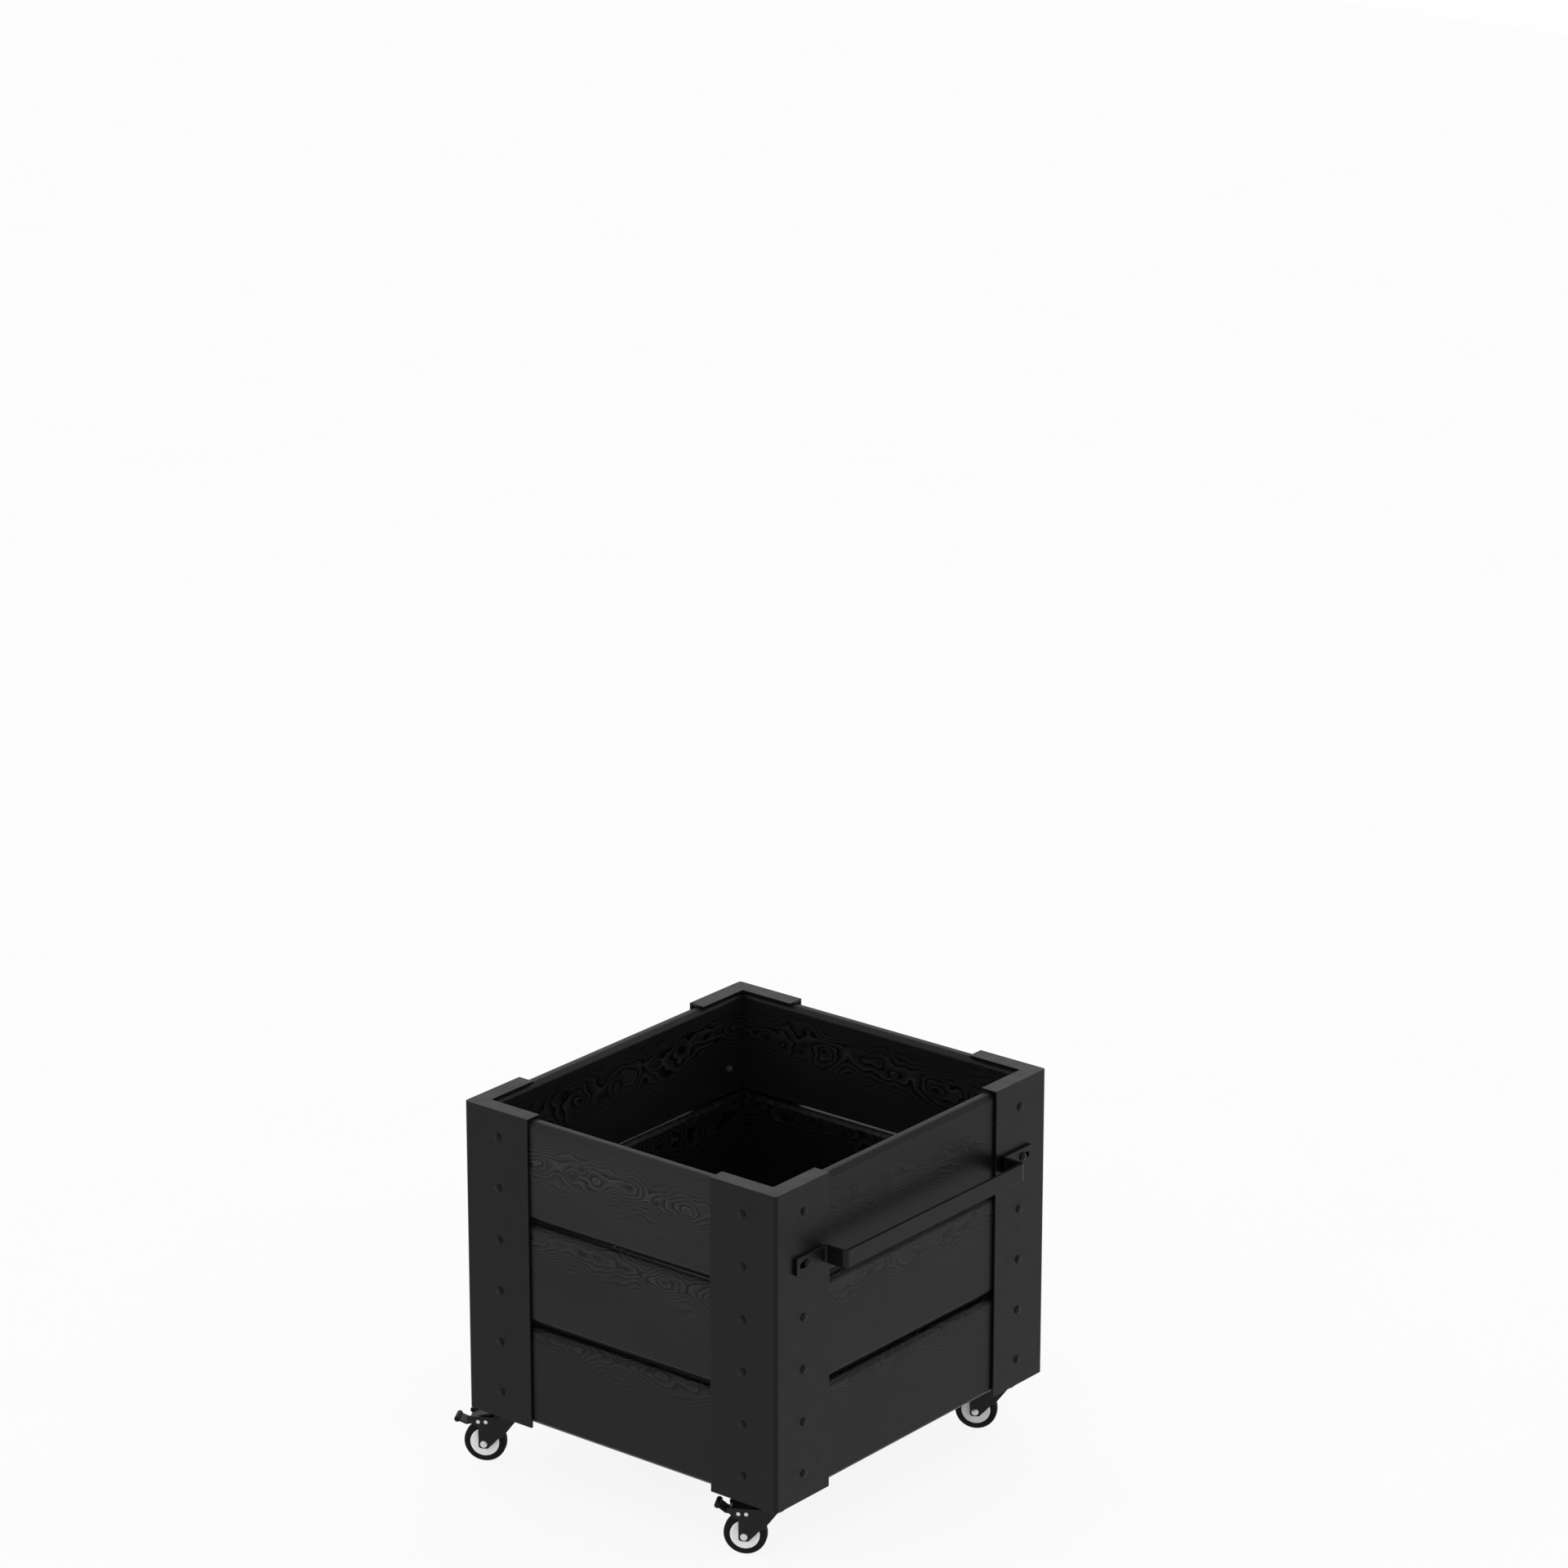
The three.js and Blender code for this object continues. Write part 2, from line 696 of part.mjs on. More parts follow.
// Tyre with rounded shoulders round the hub's rim.
function makeTyre() {
  const inner = hubRadius + seat;
  const half = [
    [inner, tyreHalfWidth - 0.5],
    [wheelRadius - 3, tyreHalfWidth],
    [wheelRadius, tyreHalfWidth - 4],
  ];
  const mirrored = half.map(([radius, y]) => [radius, -y]);
  return turned([...mirrored, ...half.reverse(), mirrored[0]], 32);
}

// Brake pedal in its released place: a body on the pivot pin with its toe over the stop pin, and
// a lever that rises to a rolled lip.
function makePedal() {
  const half = pedalHalfWidth;
  const lip = rod(pedalLipRadius, -half, half, 14).translate(pedalLipX, 0, pedalLipHeight);
  const hub = rod(pedalHubRadius, -half, half, 12).translate(brakePivotX, 0, brakePinHeight);
  const hole = rod(brakePinRadius + holeClearance, -half - 1, half + 1, 10);
  hole.translate(brakePivotX, 0, brakePinHeight);
  return cut(join([sideways(polygon(pedalPoints), -half, half), lip, hub]), [hole]);
}

// Turns a released pedal down about its pivot pin.
function pressed(pedal) {
  const turnedPedal = pedal.clone().translate(-brakePivotX, 0, -brakePinHeight);
  turnedPedal.rotateY(THREE.MathUtils.degToRad(-pedalPress));
  return turnedPedal.translate(brakePivotX, 0, brakePinHeight);
}

// ---------------------------------------------------------------- assembly

const planter = new THREE.Group();
planter.name = 'rolling_planter';

for (let wall = 0; wall < 4; wall += 1) {
  const group = wallGroup(wall);
  const post = makePost(wall).translate(-wallLength(wall) / 2, 0, 0);
  addPiece(group, `corner_post_${cornerNames[wall]}`, post, paintedSteel);
  for (let row = 0; row < boardsPerWall; row += 1) {
    addPiece(group, `board_${wallNames[wall]}_${row + 1}`, makeBoard(wall, row), stainedTimber);
  }
  if (hasHandle(wall)) {
    addPiece(group, `handle_${wallNames[wall]}`, makeHandle(wall), paintedSteel);
    fastenerAcross(wall).forEach((x, end) => {
      const corner = cornerNames[(wall + end) % 4];
      const bolt = makeHandleBolt().translate(x, strapFace - seat, strapHeightCentre);
      const nut = makeHandleNut().translate(x, boardInner + seat, strapHeightCentre);
      addPiece(group, `handle_bolt_${corner}`, bolt, darkZinc);
      addPiece(group, `handle_nut_${corner}`, nut, zinc);
    });
  }
  planter.add(group);
}

addPiece(planter, 'floor_bearer_left', makeBearer(-1), stainedTimber);
addPiece(planter, 'floor_bearer_right', makeBearer(1), stainedTimber);
slatCentres().forEach((centre, slat) => {
  addPiece(planter, `floor_slat_${slat + 1}`, makeSlat(centre), stainedTimber);
});

const pinnedPedals = ['front_left']; // corners whose brake pedal is pressed at rest
const pedal = makePedal();
const heading = THREE.MathUtils.degToRad(casterHeading);

cornerNames.forEach((corner, index) => {
  const sideX = index === 0 || index === 3 ? -1 : 1;
  const sideY = index < 2 ? -1 : 1;
  const x = sideX * (boxWidth / 2 - casterInset);
  const y = sideY * (boxDepth / 2 - casterInset);
  addPiece(planter, `caster_plate_${corner}`, makeCasterPlate().translate(x, y, 0), casterSteel);

  const caster = new THREE.Group();
  caster.name = `caster_${corner}`;
  caster.rotation.z = heading;
  const toAxle = new THREE.Vector3(-wheelTrail, 0, 0).applyAxisAngle(new THREE.Vector3(0, 0, 1), heading);
  caster.position.set(x, y, axleHeight).add(toAxle);
  const axle = makeCrossPin(axleRadius, axleCapRadius, axleCapHeight, loosePinUnder, 12);
  const pivotPin = brakePin(loosePinUnder).translate(brakePivotX, 0, brakePinHeight);
  addPiece(caster, `caster_fork_${corner}`, makeFork(), casterSteel);
  addPiece(caster, `brake_pivot_pin_${corner}`, pivotPin, zinc);
  addPiece(caster, `axle_${corner}`, axle, zinc);
  addPiece(caster, `wheel_hub_${corner}`, makeHub(), nylon);
  addPiece(caster, `tyre_${corner}`, makeTyre(), rubber);
  const restingPedal = pinnedPedals.includes(corner) ? pressed(pedal) : pedal;
  addPiece(caster, `brake_pedal_${corner}`, restingPedal, pedalPlastic);
  planter.add(caster);
});

// Puts the middle of the bounding box over the origin.
const middle = new THREE.Box3().setFromObject(planter).getCenter(new THREE.Vector3());
planter.position.set(-middle.x, -middle.y, 0);
planter.updateMatrixWorld(true);

export default planter;
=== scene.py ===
import math
import bmesh
import bpy
import numpy as np
from mathutils import Matrix, Vector


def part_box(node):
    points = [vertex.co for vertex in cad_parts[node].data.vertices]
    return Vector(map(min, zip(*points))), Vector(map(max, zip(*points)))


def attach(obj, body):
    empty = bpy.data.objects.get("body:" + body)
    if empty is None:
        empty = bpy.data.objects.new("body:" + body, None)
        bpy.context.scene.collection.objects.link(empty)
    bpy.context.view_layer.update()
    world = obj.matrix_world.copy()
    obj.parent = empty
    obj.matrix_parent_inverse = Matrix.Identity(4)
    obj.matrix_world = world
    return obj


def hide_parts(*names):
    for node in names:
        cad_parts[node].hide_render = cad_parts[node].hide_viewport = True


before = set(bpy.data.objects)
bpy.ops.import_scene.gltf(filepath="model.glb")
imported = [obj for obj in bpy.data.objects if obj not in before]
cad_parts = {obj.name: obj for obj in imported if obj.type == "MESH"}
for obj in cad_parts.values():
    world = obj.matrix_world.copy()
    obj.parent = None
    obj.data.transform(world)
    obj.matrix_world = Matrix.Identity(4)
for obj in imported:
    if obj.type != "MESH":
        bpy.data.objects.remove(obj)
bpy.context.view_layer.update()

# Sizes are in millimetres and are the part's own, except where a comment says otherwise. The edges,
# heads and recesses are finer here than in the part.
MM = 0.001
TO_METRES = Matrix.Scale(MM, 4)
CORNERS = ["front_left", "front_right", "back_right", "back_left"]
WALLS = ["front", "right", "back", "left"]

# Box
WIDTH, DEPTH = 550, 597  # over the posts' outer faces
FOOT, TOP = 85.5, 545.5  # the posts' ends, from the ground
SEAT = 0.3  # gap between two pieces that rest on each other
ROWS = 3
BOARD_HEIGHT, BOARD_THICKNESS, BOARD_GAP = 145, 22, 8
BOARD_PITCH = BOARD_HEIGHT + BOARD_GAP
BOARD_BEVEL = 6  # on both faces, where the part's inner one is smaller
BOARD_ARRIS = 0.6  # small bevel at the foot of a board's inner face
BOARD_EASE = 2.0  # how far the corners of a board's section are rounded
LOWER_REACH = 1.6  # the scene's upper boards reach this much lower, which narrows the joints from above

# Corner posts
SHEET = 4
BEND = 5  # outside radius of the fold
LEG_WIDTH, FOOT_PLATE = 114, 84
BOARD_OUT = SHEET + SEAT  # depth of a board's outer face behind the posts' face
BOARD_IN = BOARD_OUT + BOARD_THICKNESS
BOARD_TOP = TOP - BOARD_OUT
SCREW_INSET, SCREW_EDGE = 59, 34.5  # from the planter's corner and from a board's edge
SCREW_RADIUS, SCREW_HEIGHT, HEAD_RIM = 6, 3.0, 0.4

# Handles, each one bent flat bar
STRAP_Z = TOP - 112
STRAP_THICKNESS, STRAP_HEIGHT = 5, 25
STRAP_REACH = 40  # from the posts' face to the strap's front face
STRAP_BEND, FOOT_BEND = 7, 3  # outside radius at the front, inside radius at the feet
ARM_INSET, END_INSET = 99, 38  # from the planter's corner to an arm's outer face and a foot's end
SLOT_LENGTH, SLOT_HEIGHT, SLOT_OUTSET = 22, 9, 4
BOLT_RADIUS, BOLT_LENGTH = 4, 35.6  # the length is under the head
BOLT_HEAD_RADIUS, BOLT_HEAD_HEIGHT, BOLT_HEAD_RIM = 6.3, 4, 0.5

# Floor
SLATS, SLAT_WIDTH, SLAT_THICKNESS, SLAT_END = 4, 125, 22, 2
BEARER_WIDTH, BEARER_HEIGHT, BEARER_END = 28, 45, 1
FLOOR_SCREW_EDGE = 30  # from a slat's long edges
BEARER_LOW = FOOT + SHEET + SEAT
BEARER_X = WIDTH / 2 - BOARD_IN - SEAT - BEARER_WIDTH / 2
FLOOR_LOW = BEARER_LOW + BEARER_HEIGHT + SEAT
FLOOR_TOP = FLOOR_LOW + SLAT_THICKNESS

# Casters. Places in a caster are from its axle: X towards the swivel axis, Z up.
CASTER_INSET = 40  # from the planter's outer faces to a swivel axis
HEADING = 30  # degrees from +X to each caster's X
WHEEL_RADIUS, TRAIL = 30, 35.8
FORK_SHEET, FORK_INNER, FORK_TOP = 2.5, 12.5, 41
FORK_OUTER = FORK_INNER + FORK_SHEET
JOGGLE, JOGGLE_START, JOGGLE_END = 3, 15, 22  # the legs step inwards beside the swivel axis
BRAKE_PIN_Z, PIVOT_X, STOP_X = 33.5, -7.6, 3.2
PIN_HEAD_RADIUS, PIN_HEAD_HEIGHT, PIVOT_RADIUS = 2.9, 1.4, 1.8
AXLE_RADIUS, AXLE_CAP_RADIUS, AXLE_CAP_HEIGHT = 3, 5.2, 4
PEDAL_HALF, PEDAL_HUB_RADIUS, PEDAL_PRESS = 11.5, 3.6, 16
LIP_X, LIP_Z, LIP_RADIUS, LIP_PITCH = -37.4, 41.8, 4.2, 2.4
MOUNT_PLATE, MOUNT_SHEET, MOUNT_CORNER = 64, 2.5, 6
MOUNT_BOLTS, MOUNT_BOLT_RADIUS, MOUNT_HEAD_RADIUS, MOUNT_HEAD_HEIGHT = 46, 2.8, 5, 3
RACE_RADIUS, RACE_HEIGHT, RACE_BORE, RACE_CLEARANCE = 19, 6.4, 5, 0.5
KINGPIN_RADIUS, KINGPIN_HEAD = 4.5, 7.5  # radii of its shank and of its head below the fork
KINGPIN_LOW, KINGPIN_TOP = 65, 68  # the head's ends, from the ground
PLATE_LOW = FOOT - SEAT - MOUNT_SHEET  # underside of the mounting plate, from the ground
RACE_LOW = PLATE_LOW - RACE_HEIGHT

# The box's middle lies a little behind the origin, because the origin is under the bounding box.
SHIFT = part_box("board_front_1")[0].y / MM + DEPTH / 2 - BOARD_OUT


def move(x, y, z):
    return Matrix.Translation((x, y, z))


def wall_length(w):
    return WIDTH if w % 2 == 0 else DEPTH


def has_handle(w):
    return w % 2 == 1


def wall_matrix(w):
    """Millimetres in a wall's frame (X along it, Y inwards from the posts' face, Z up) to metres."""
    distance = (DEPTH if w % 2 == 0 else WIDTH) / 2
    turn = Matrix.Rotation(w * math.pi / 2, 4, "Z")
    return TO_METRES @ move(0, SHIFT, 0) @ turn @ move(0, -distance, 0)


def swivel_place(index):
    """Where a caster's swivel axis stands on the ground."""
    x = (-1 if index in (0, 3) else 1) * (WIDTH / 2 - CASTER_INSET)
    y = (-1 if index < 2 else 1) * (DEPTH / 2 - CASTER_INSET) + SHIFT
    return move(x, y, 0)


def caster_matrix(index):
    """Millimetres about a caster's axle to metres."""
    turn = Matrix.Rotation(math.radians(HEADING), 4, "Z")
    return TO_METRES @ swivel_place(index) @ move(0, 0, WHEEL_RADIUS) @ turn @ move(-TRAIL, 0, 0)


# ------------------------------------------------------------------ mesh making

MERGE = 1e-5  # points nearer than this are one
BEVEL_ANGLE, SMOOTH_ANGLE = 30, 40  # degrees: edges above them are bevelled, and stay sharp


def prism(bm, outline, axis, low, high):
    """A polygon in the other two axes, carried along axis."""
    def at(u, v, w):
        return {"x": (w, u, v), "y": (u, w, v), "z": (u, v, w)}[axis]
    near = [bm.verts.new(at(u, v, low)) for u, v in outline]
    far = [bm.verts.new(at(u, v, high)) for u, v in outline]
    bm.faces.new(near[::-1])
    bm.faces.new(far)
    count = len(outline)
    for i in range(count):
        j = (i + 1) % count
        bm.faces.new((near[i], near[j], far[j], far[i]))


def lathe(bm, profile, segments=32, matrix=Matrix.Identity(4), axis="y"):
    """A profile of (radius, distance) points turned about an axis through the matrix's origin."""
    def at(radius, along, angle):
        a, b = radius * math.cos(angle), radius * math.sin(angle)
        return matrix @ Vector({"x": (along, a, b), "y": (a, along, b), "z": (a, b, along)}[axis])
    rings = []
    for radius, along in profile:
        count = 1 if radius == 0 else segments
        rings.append([bm.verts.new(at(radius, along, 2 * math.pi * k / count)) for k in range(count)])
    for a, b in zip(rings, rings[1:]):
        for k in range(segments):
            n = (k + 1) % segments
            quad = [a[k % len(a)], a[n % len(a)], b[n % len(b)], b[k % len(b)]]
            unique = list(dict.fromkeys(quad))
            if len(unique) > 2:
                bm.faces.new(unique)


def arc(cx, cy, radius, start, end, steps):
    points = []
    for k in range(steps + 1):
        t = math.radians(start + (end - start) * k / steps)
        points.append((cx + radius * math.cos(t), cy + radius * math.sin(t)))
    return points


def dome(radius, height, rim, steps=9):
    """Profile of a round head on an upright rim. It stands out towards the negative end of its axis."""
    curve = [(radius * math.sin(t), -rim - (height - rim) * math.cos(t))
             for t in np.linspace(0.15, 1.5, steps)]
    return [(0, -height)] + curve + [(radius, 0)]


def rounded(points, radius, steps=3):
    """The outline with each corner turned into a curve, which takes less than half of a side."""
    result = []
    count = len(points)
    for i, here in enumerate(points):
        here = Vector(here)
        a, b = Vector(points[i - 1]) - here, Vector(points[(i + 1) % count]) - here
        reach = min(radius, a.length * 0.45, b.length * 0.45)
        p, q = here + a.normalized() * reach, here + b.normalized() * reach
        for k in range(steps + 1):
            t = k / steps
            result.append(tuple(p * (1 - t) ** 2 + here * 2 * t * (1 - t) + q * t ** 2))
    return result


def bar_section(centre, low, width, height, radius, steps):
    """A rectangle with rounded corners that stands on low."""
    left, right, high = centre - width / 2, centre + width / 2, low + height
    return rounded([(left, low), (right, low), (right, high), (left, high)], radius, steps)


def link(name, data):
    ob = bpy.data.objects.new(name, data)
    bpy.context.scene.collection.objects.link(ob)
    return ob


def evaluated_mesh(ob):
    """A copy of the object's mesh with its modifiers applied."""
    bpy.context.view_layer.update()
    return bpy.data.meshes.new_from_object(ob.evaluated_get(bpy.context.evaluated_depsgraph_get()))


def piece(name, bm, matrix, material, body, replaces=(), bevel=0, segments=2, grain=None):
    """Turns a bmesh in millimetres into a shaded object in metres that rides on a body."""
    bmesh.ops.remove_doubles(bm, verts=bm.verts, dist=MERGE)
    bmesh.ops.recalc_face_normals(bm, faces=bm.faces)
    bm.transform(matrix)
    mesh = bpy.data.meshes.new(name)
    bm.to_mesh(mesh)
    bm.free()
    ob = link(name, mesh)
    if bevel:
        edges = ob.modifiers.new("edges", "BEVEL")
        edges.width = bevel * MM
        edges.segments = segments
        edges.limit_method = "ANGLE"
        edges.angle_limit = math.radians(BEVEL_ANGLE)
        edges.use_clamp_overlap = True
        done = evaluated_mesh(ob)
        ob.modifiers.clear()
        ob.data = done
        done.name = name
    ob.data.polygons.foreach_set("use_smooth", [True] * len(ob.data.polygons))
    ob.data.set_sharp_from_angle(angle=math.radians(SMOOTH_ANGLE))
    if bevel:
        ob.modifiers.new("normals", "WEIGHTED_NORMAL").keep_sharp = True
    if grain:
        store_grain(ob.data, *grain)
    ob.data.materials.append(material)
    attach(ob, body)
    if replaces:
        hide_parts(*replaces)


def boolean(bm, cutters, operation="DIFFERENCE"):
    """Cuts or joins closed bmeshes with the exact solver and returns one bmesh."""
    def holder(source):
        bmesh.ops.recalc_face_normals(source, faces=source.faces)
        mesh = bpy.data.meshes.new("solid")
        source.to_mesh(mesh)
        source.free()
        return link("solid", mesh)
    base = holder(bm)
    tools = [holder(cutter) for cutter in cutters]
    for tool in tools:
        cut = base.modifiers.new("cut", "BOOLEAN")
        cut.operation = operation
        cut.solver = "EXACT"
        cut.object = tool
    result = bmesh.new()
    result.from_mesh(evaluated_mesh(base))
    for ob in [base] + tools:
        bpy.data.objects.remove(ob)
    bmesh.ops.dissolve_limit(result, angle_limit=0.01, verts=result.verts, edges=result.edges)
    return result


def store_grain(mesh, to_board, offset, shade=1.0):
    """Writes each vertex's place along, into and up the board, in metres, and the board's shade factor,
    which is partly its own tone and partly painted shade.
    """
    count = len(mesh.vertices)
    co = np.empty(count * 3)
    mesh.vertices.foreach_get("co", co)
    co = np.c_[co.reshape(-1, 3), np.ones(count)] @ np.array(to_board).T
    attribute = mesh.attributes.new("grain", "FLOAT_VECTOR", "POINT")
    attribute.data.foreach_set("vector", (co[:, :3] + np.array(offset)).ravel())
    mesh.attributes.new("shade", "FLOAT", "POINT").data.foreach_set("value", [shade] * count)


# ------------------------------------------------------------------ materials

class Nodes:
    """A short way to write the node tree of a material or a world."""

    def __init__(self, owner):
        self.owner = owner
        owner.use_nodes = True
        self.tree = owner.node_tree

    def add(self, kind, inputs=None, output=0, **settings):
        node = self.tree.nodes.new("ShaderNode" + kind)
        for key, value in settings.items():
            setattr(node, key, value)
        for key, value in (inputs or {}).items():
            self.put(node.inputs[key], value)
        return node.outputs[output]

    def put(self, socket, value):
        if isinstance(value, bpy.types.NodeSocket):
            self.tree.links.new(value, socket)
        else:
            socket.default_value = value

    def set(self, **inputs):
        """Sets the shader's sockets. Specular IOR Level is always a number on the socket itself."""
        for key, value in inputs.items():
            self.put(self.tree.nodes["Principled BSDF"].inputs[key.replace("_", " ")], value)

    def math(self, operation, *values, clamp=False):
        return self.add("Math", dict(enumerate(values)), operation=operation, use_clamp=clamp)

    def plus(self, a, b):
        return self.math("ADD", a, b)

    def minus(self, a, b, clamp=False):
        return self.math("SUBTRACT", a, b, clamp=clamp)

    def times(self, a, b):
        return self.math("MULTIPLY", a, b)

    def mix(self, factor, a, b):
        grey = lambda v: (v, v, v, 1) if isinstance(v, (int, float)) else v
        return self.add("Mix", {0: factor, 6: grey(a), 7: grey(b)}, output=2, data_type="RGBA")

    def place(self):
        """Each object's own coordinates."""
        return self.add("TexCoord", output=3)

    def noise(self, scale, detail, vector, roughness=0.5):
        inputs = {"Scale": scale, "Detail": detail, "Roughness": roughness, "Vector": vector}
        return self.add("TexNoise", inputs)

    def ramp(self, factor, *stops):
        socket = self.add("ValToRGB", {0: factor})
        ramp = socket.node.color_ramp
        while len(ramp.elements) < len(stops):
            ramp.elements.new(0.5)
        for element, (position, value) in zip(ramp.elements, stops):
            element.position = position
            element.color = (value, value, value, 1)
        return socket

    def remap(self, value, low, high, to_low, to_high):
        return self.add("MapRange", {0: value, 1: low, 2: high, 3: to_low, 4: to_high})

    def swing(self, noise, to_low, to_high, reach=0.2):
        """Spreads a noise, which keeps near 0.5 and within reach of it, over a range."""
        return self.remap(noise, 0.5 - reach, 0.5 + reach, to_low, to_high)

    def split(self, vector):
        return self.add("SeparateXYZ", {0: vector}).node.outputs

    def bump(self, height, strength, distance):
        return self.add("Bump", {"Height": height, "Strength": strength, "Distance": distance})

    def shows_background(self):
        """1 for rays that carry the white background: straight to the camera, mirrored or through glass."""
        rays = self.add("LightPath").node.outputs
        seen = self.math("MAXIMUM", rays["Is Camera Ray"], rays["Is Glossy Ray"])
        return self.math("MAXIMUM", seen, rays["Is Transmission Ray"])


def coated_metal(name, tone, rough, metal=0.0, gloss=0.3, grain=900.0, wear=0.0):
    """Coated or plated steel: slight colour drift, fine orange-peel texture and paler edges."""
    n = Nodes(bpy.data.materials.new(name))
    place = n.place()
    drift = n.noise(7, 3, place)
    speck = n.noise(grain, 2, place)
    colour = n.mix(n.swing(drift, 0, 1), tone * 0.965, tone * 1.035)
    colour = n.mix(n.remap(speck, 0.60, 0.75, 0, 0.12), colour, tone * 1.35)
    if wear:
        # The bevelled normal leaves the face's own where an edge is near.
        soft = n.add("Bevel", {"Radius": 0.0012}, samples=4)
        flat = n.add("NewGeometry", output=1)
        along = n.add("VectorMath", {0: soft, 1: flat}, output=1, operation="DOT_PRODUCT")
        rubbed = n.remap(n.noise(120, 4, place), 0.42, 0.6, 0.2, 1)
        edge = n.times(n.remap(along, 0.995, 0.90, 0, wear), rubbed)
        colour = n.mix(edge, colour, tone * 2.0)
    n.set(Base_Color=colour, Metallic=metal, Specular_IOR_Level=gloss)
    n.set(Roughness=n.swing(n.noise(40, 4, place), rough - 0.04, rough + 0.05))
    n.set(Normal=n.bump(speck, 0.10, 0.0002))
    return n.owner


def moulded(name, tone, rough, gloss=0.25, grain=700.0, spread=0.05):
    """Moulded plastic or rubber."""
    n = Nodes(bpy.data.materials.new(name))
    place = n.place()
    fine = n.noise(grain, 3, place)
    broad = n.noise(25, 4, place)
    colour = n.mix(n.swing(broad, 0, 1), tone * (1 - spread), tone * (1 + spread))
    n.set(Base_Color=colour, Specular_IOR_Level=gloss)
    n.set(Roughness=n.swing(n.noise(60, 3, place), rough - 0.05, rough + 0.08))
    n.set(Normal=n.bump(fine, 0.15, 0.0003))
    return n.owner


RINGS = 185.0  # growth rings to a metre, across them
KNOTS = 12.0  # stretches to a metre of the heart line, with one knot in each


def board_noise(n, grain, detail, waves, roughness=0.5):
    """Noise with so many waves to a metre along, into and up the board."""
    vector = n.add("VectorMath", {0: grain, 1: waves}, operation="MULTIPLY")
    return n.noise(1.0, detail, vector, roughness)


def knot_field(n, along, up):
    """The squared distance from the nearest knot, and that knot's own random numbers."""
    cell = n.add("TexVoronoi", {"W": n.times(along, KNOTS), "Scale": 1.0}, voronoi_dimensions="1D")
    pick = n.add("SeparateColor", {0: cell.node.outputs[1]}).node.outputs
    dx = n.times(cell, 1 / KNOTS)
    # Each knot stands a little above or below the heart line and is flatter than it is long.
    dz = n.times(n.plus(up, n.remap(pick[0], 0, 1, -0.009, 0.009)), 1.6)
    return n.plus(n.times(dx, dx), n.times(dz, dz)), pick


def ring_distance(n, grain, into, up, knot, size):
    """The distance from the tree's heart, a little behind the face, in waves and swollen round the knots."""
    depth = n.plus(n.times(into, 0.8), 0.006)
    rings = n.math("SQRT", n.plus(n.times(up, up), n.times(depth, depth)))
    broad = board_noise(n, grain, 2, (12.5, 9, 15), 0.4)
    rings = n.plus(rings, n.swing(broad, -0.017, 0.017, 0.25))
    wobble = board_noise(n, grain, 3, (42, 30, 120))
    rings = n.plus(rings, n.swing(wobble, -0.0013, 0.0013, 0.25))
    swell = n.math("EXPONENT", n.times(knot, -9000.0))
    return n.minus(rings, n.times(swell, n.remap(size, 0.2, 1, 0, 0.014)))


def timber(name, tone, figure):
    """Flat-sawn stained pine: rings open out along the heart line into ovals, points and a row of knots."""
    n = Nodes(bpy.data.materials.new(name))
    grain = n.add("Attribute", output=1, attribute_name="grain")
    along, into, up = n.split(grain)
    # Heights count from the heart line, which wanders along the board.
    up = n.plus(up, n.swing(board_noise(n, grain, 2, (3.1, 2, 0)), -0.007, 0.007))
    knot, pick = knot_field(n, along, up)
    rings = ring_distance(n, grain, into, up, knot, pick[1])

    # Each ring darkens slowly and ends sharply. The figure is strongest near the heart line.
    saw = n.math("FRACT", n.times(rings, RINGS))
    band = n.ramp(saw, (0.0, 0.0), (0.13, 0.08), (0.30, 0.42), (0.70, 0.62), (0.93, 1.0), (1.0, 0.0))
    near = n.math("EXPONENT", n.times(n.times(up, up), -1500.0))
    patchy = n.swing(board_noise(n, grain, 2, (8, 8, 16)), 0.35, 1.0, 0.15)
    strength = n.plus(n.times(n.times(near, patchy), 0.80 * figure), 0.05 * figure)
    level = n.times(n.minus(band, 0.45), strength)

    # Fine fibres, broad clouds and a dark eye in some of the knots.
    fibre = board_noise(n, grain, 4, (45, 700, 1300), 0.6)
    cloud = board_noise(n, grain, 3, (4.5, 5, 14))
    level = n.plus(level, n.swing(fibre, -0.045, 0.045))
    level = n.plus(level, n.swing(cloud, -0.06, 0.06))
    eye = n.times(n.remap(knot, 0.000014, 0.00006, 1, 0), n.remap(pick[2], 0.1, 0.3, 0.12, 0.36))
    level = n.minus(n.plus(level, 0.30), eye, clamp=True)

    # The boards' inner faces are painted slightly darker than their outer faces: painted shade for the
    # inside of the box.
    coat = n.remap(into, 0.0255, 0.0262, 1.0, 0.9)
    # Each board's shade factor scales its stain: partly the board's own tone, partly painted shade.
    shade = n.times(n.add("Attribute", output=2, attribute_name="shade"), coat)
    stain = n.mix(level, tone * 0.05, tone * 3.4)
    n.set(Base_Color=n.add("VectorMath", {0: stain, "Scale": shade}, operation="SCALE"))
    # Sawn top edges are rougher than the planed faces.
    facing_up = n.split(n.add("NewGeometry", output=1))[2]
    sawn = n.remap(facing_up, 0.5, 0.9, 0, 0.07)
    n.set(Roughness=n.plus(n.swing(fibre, 0.33, 0.43), sawn), Specular_IOR_Level=0.16)
    relief = n.plus(n.times(band, strength), n.times(fibre, 0.25))
    n.set(Normal=n.bump(relief, 0.4, 0.0008))
    return n.owner


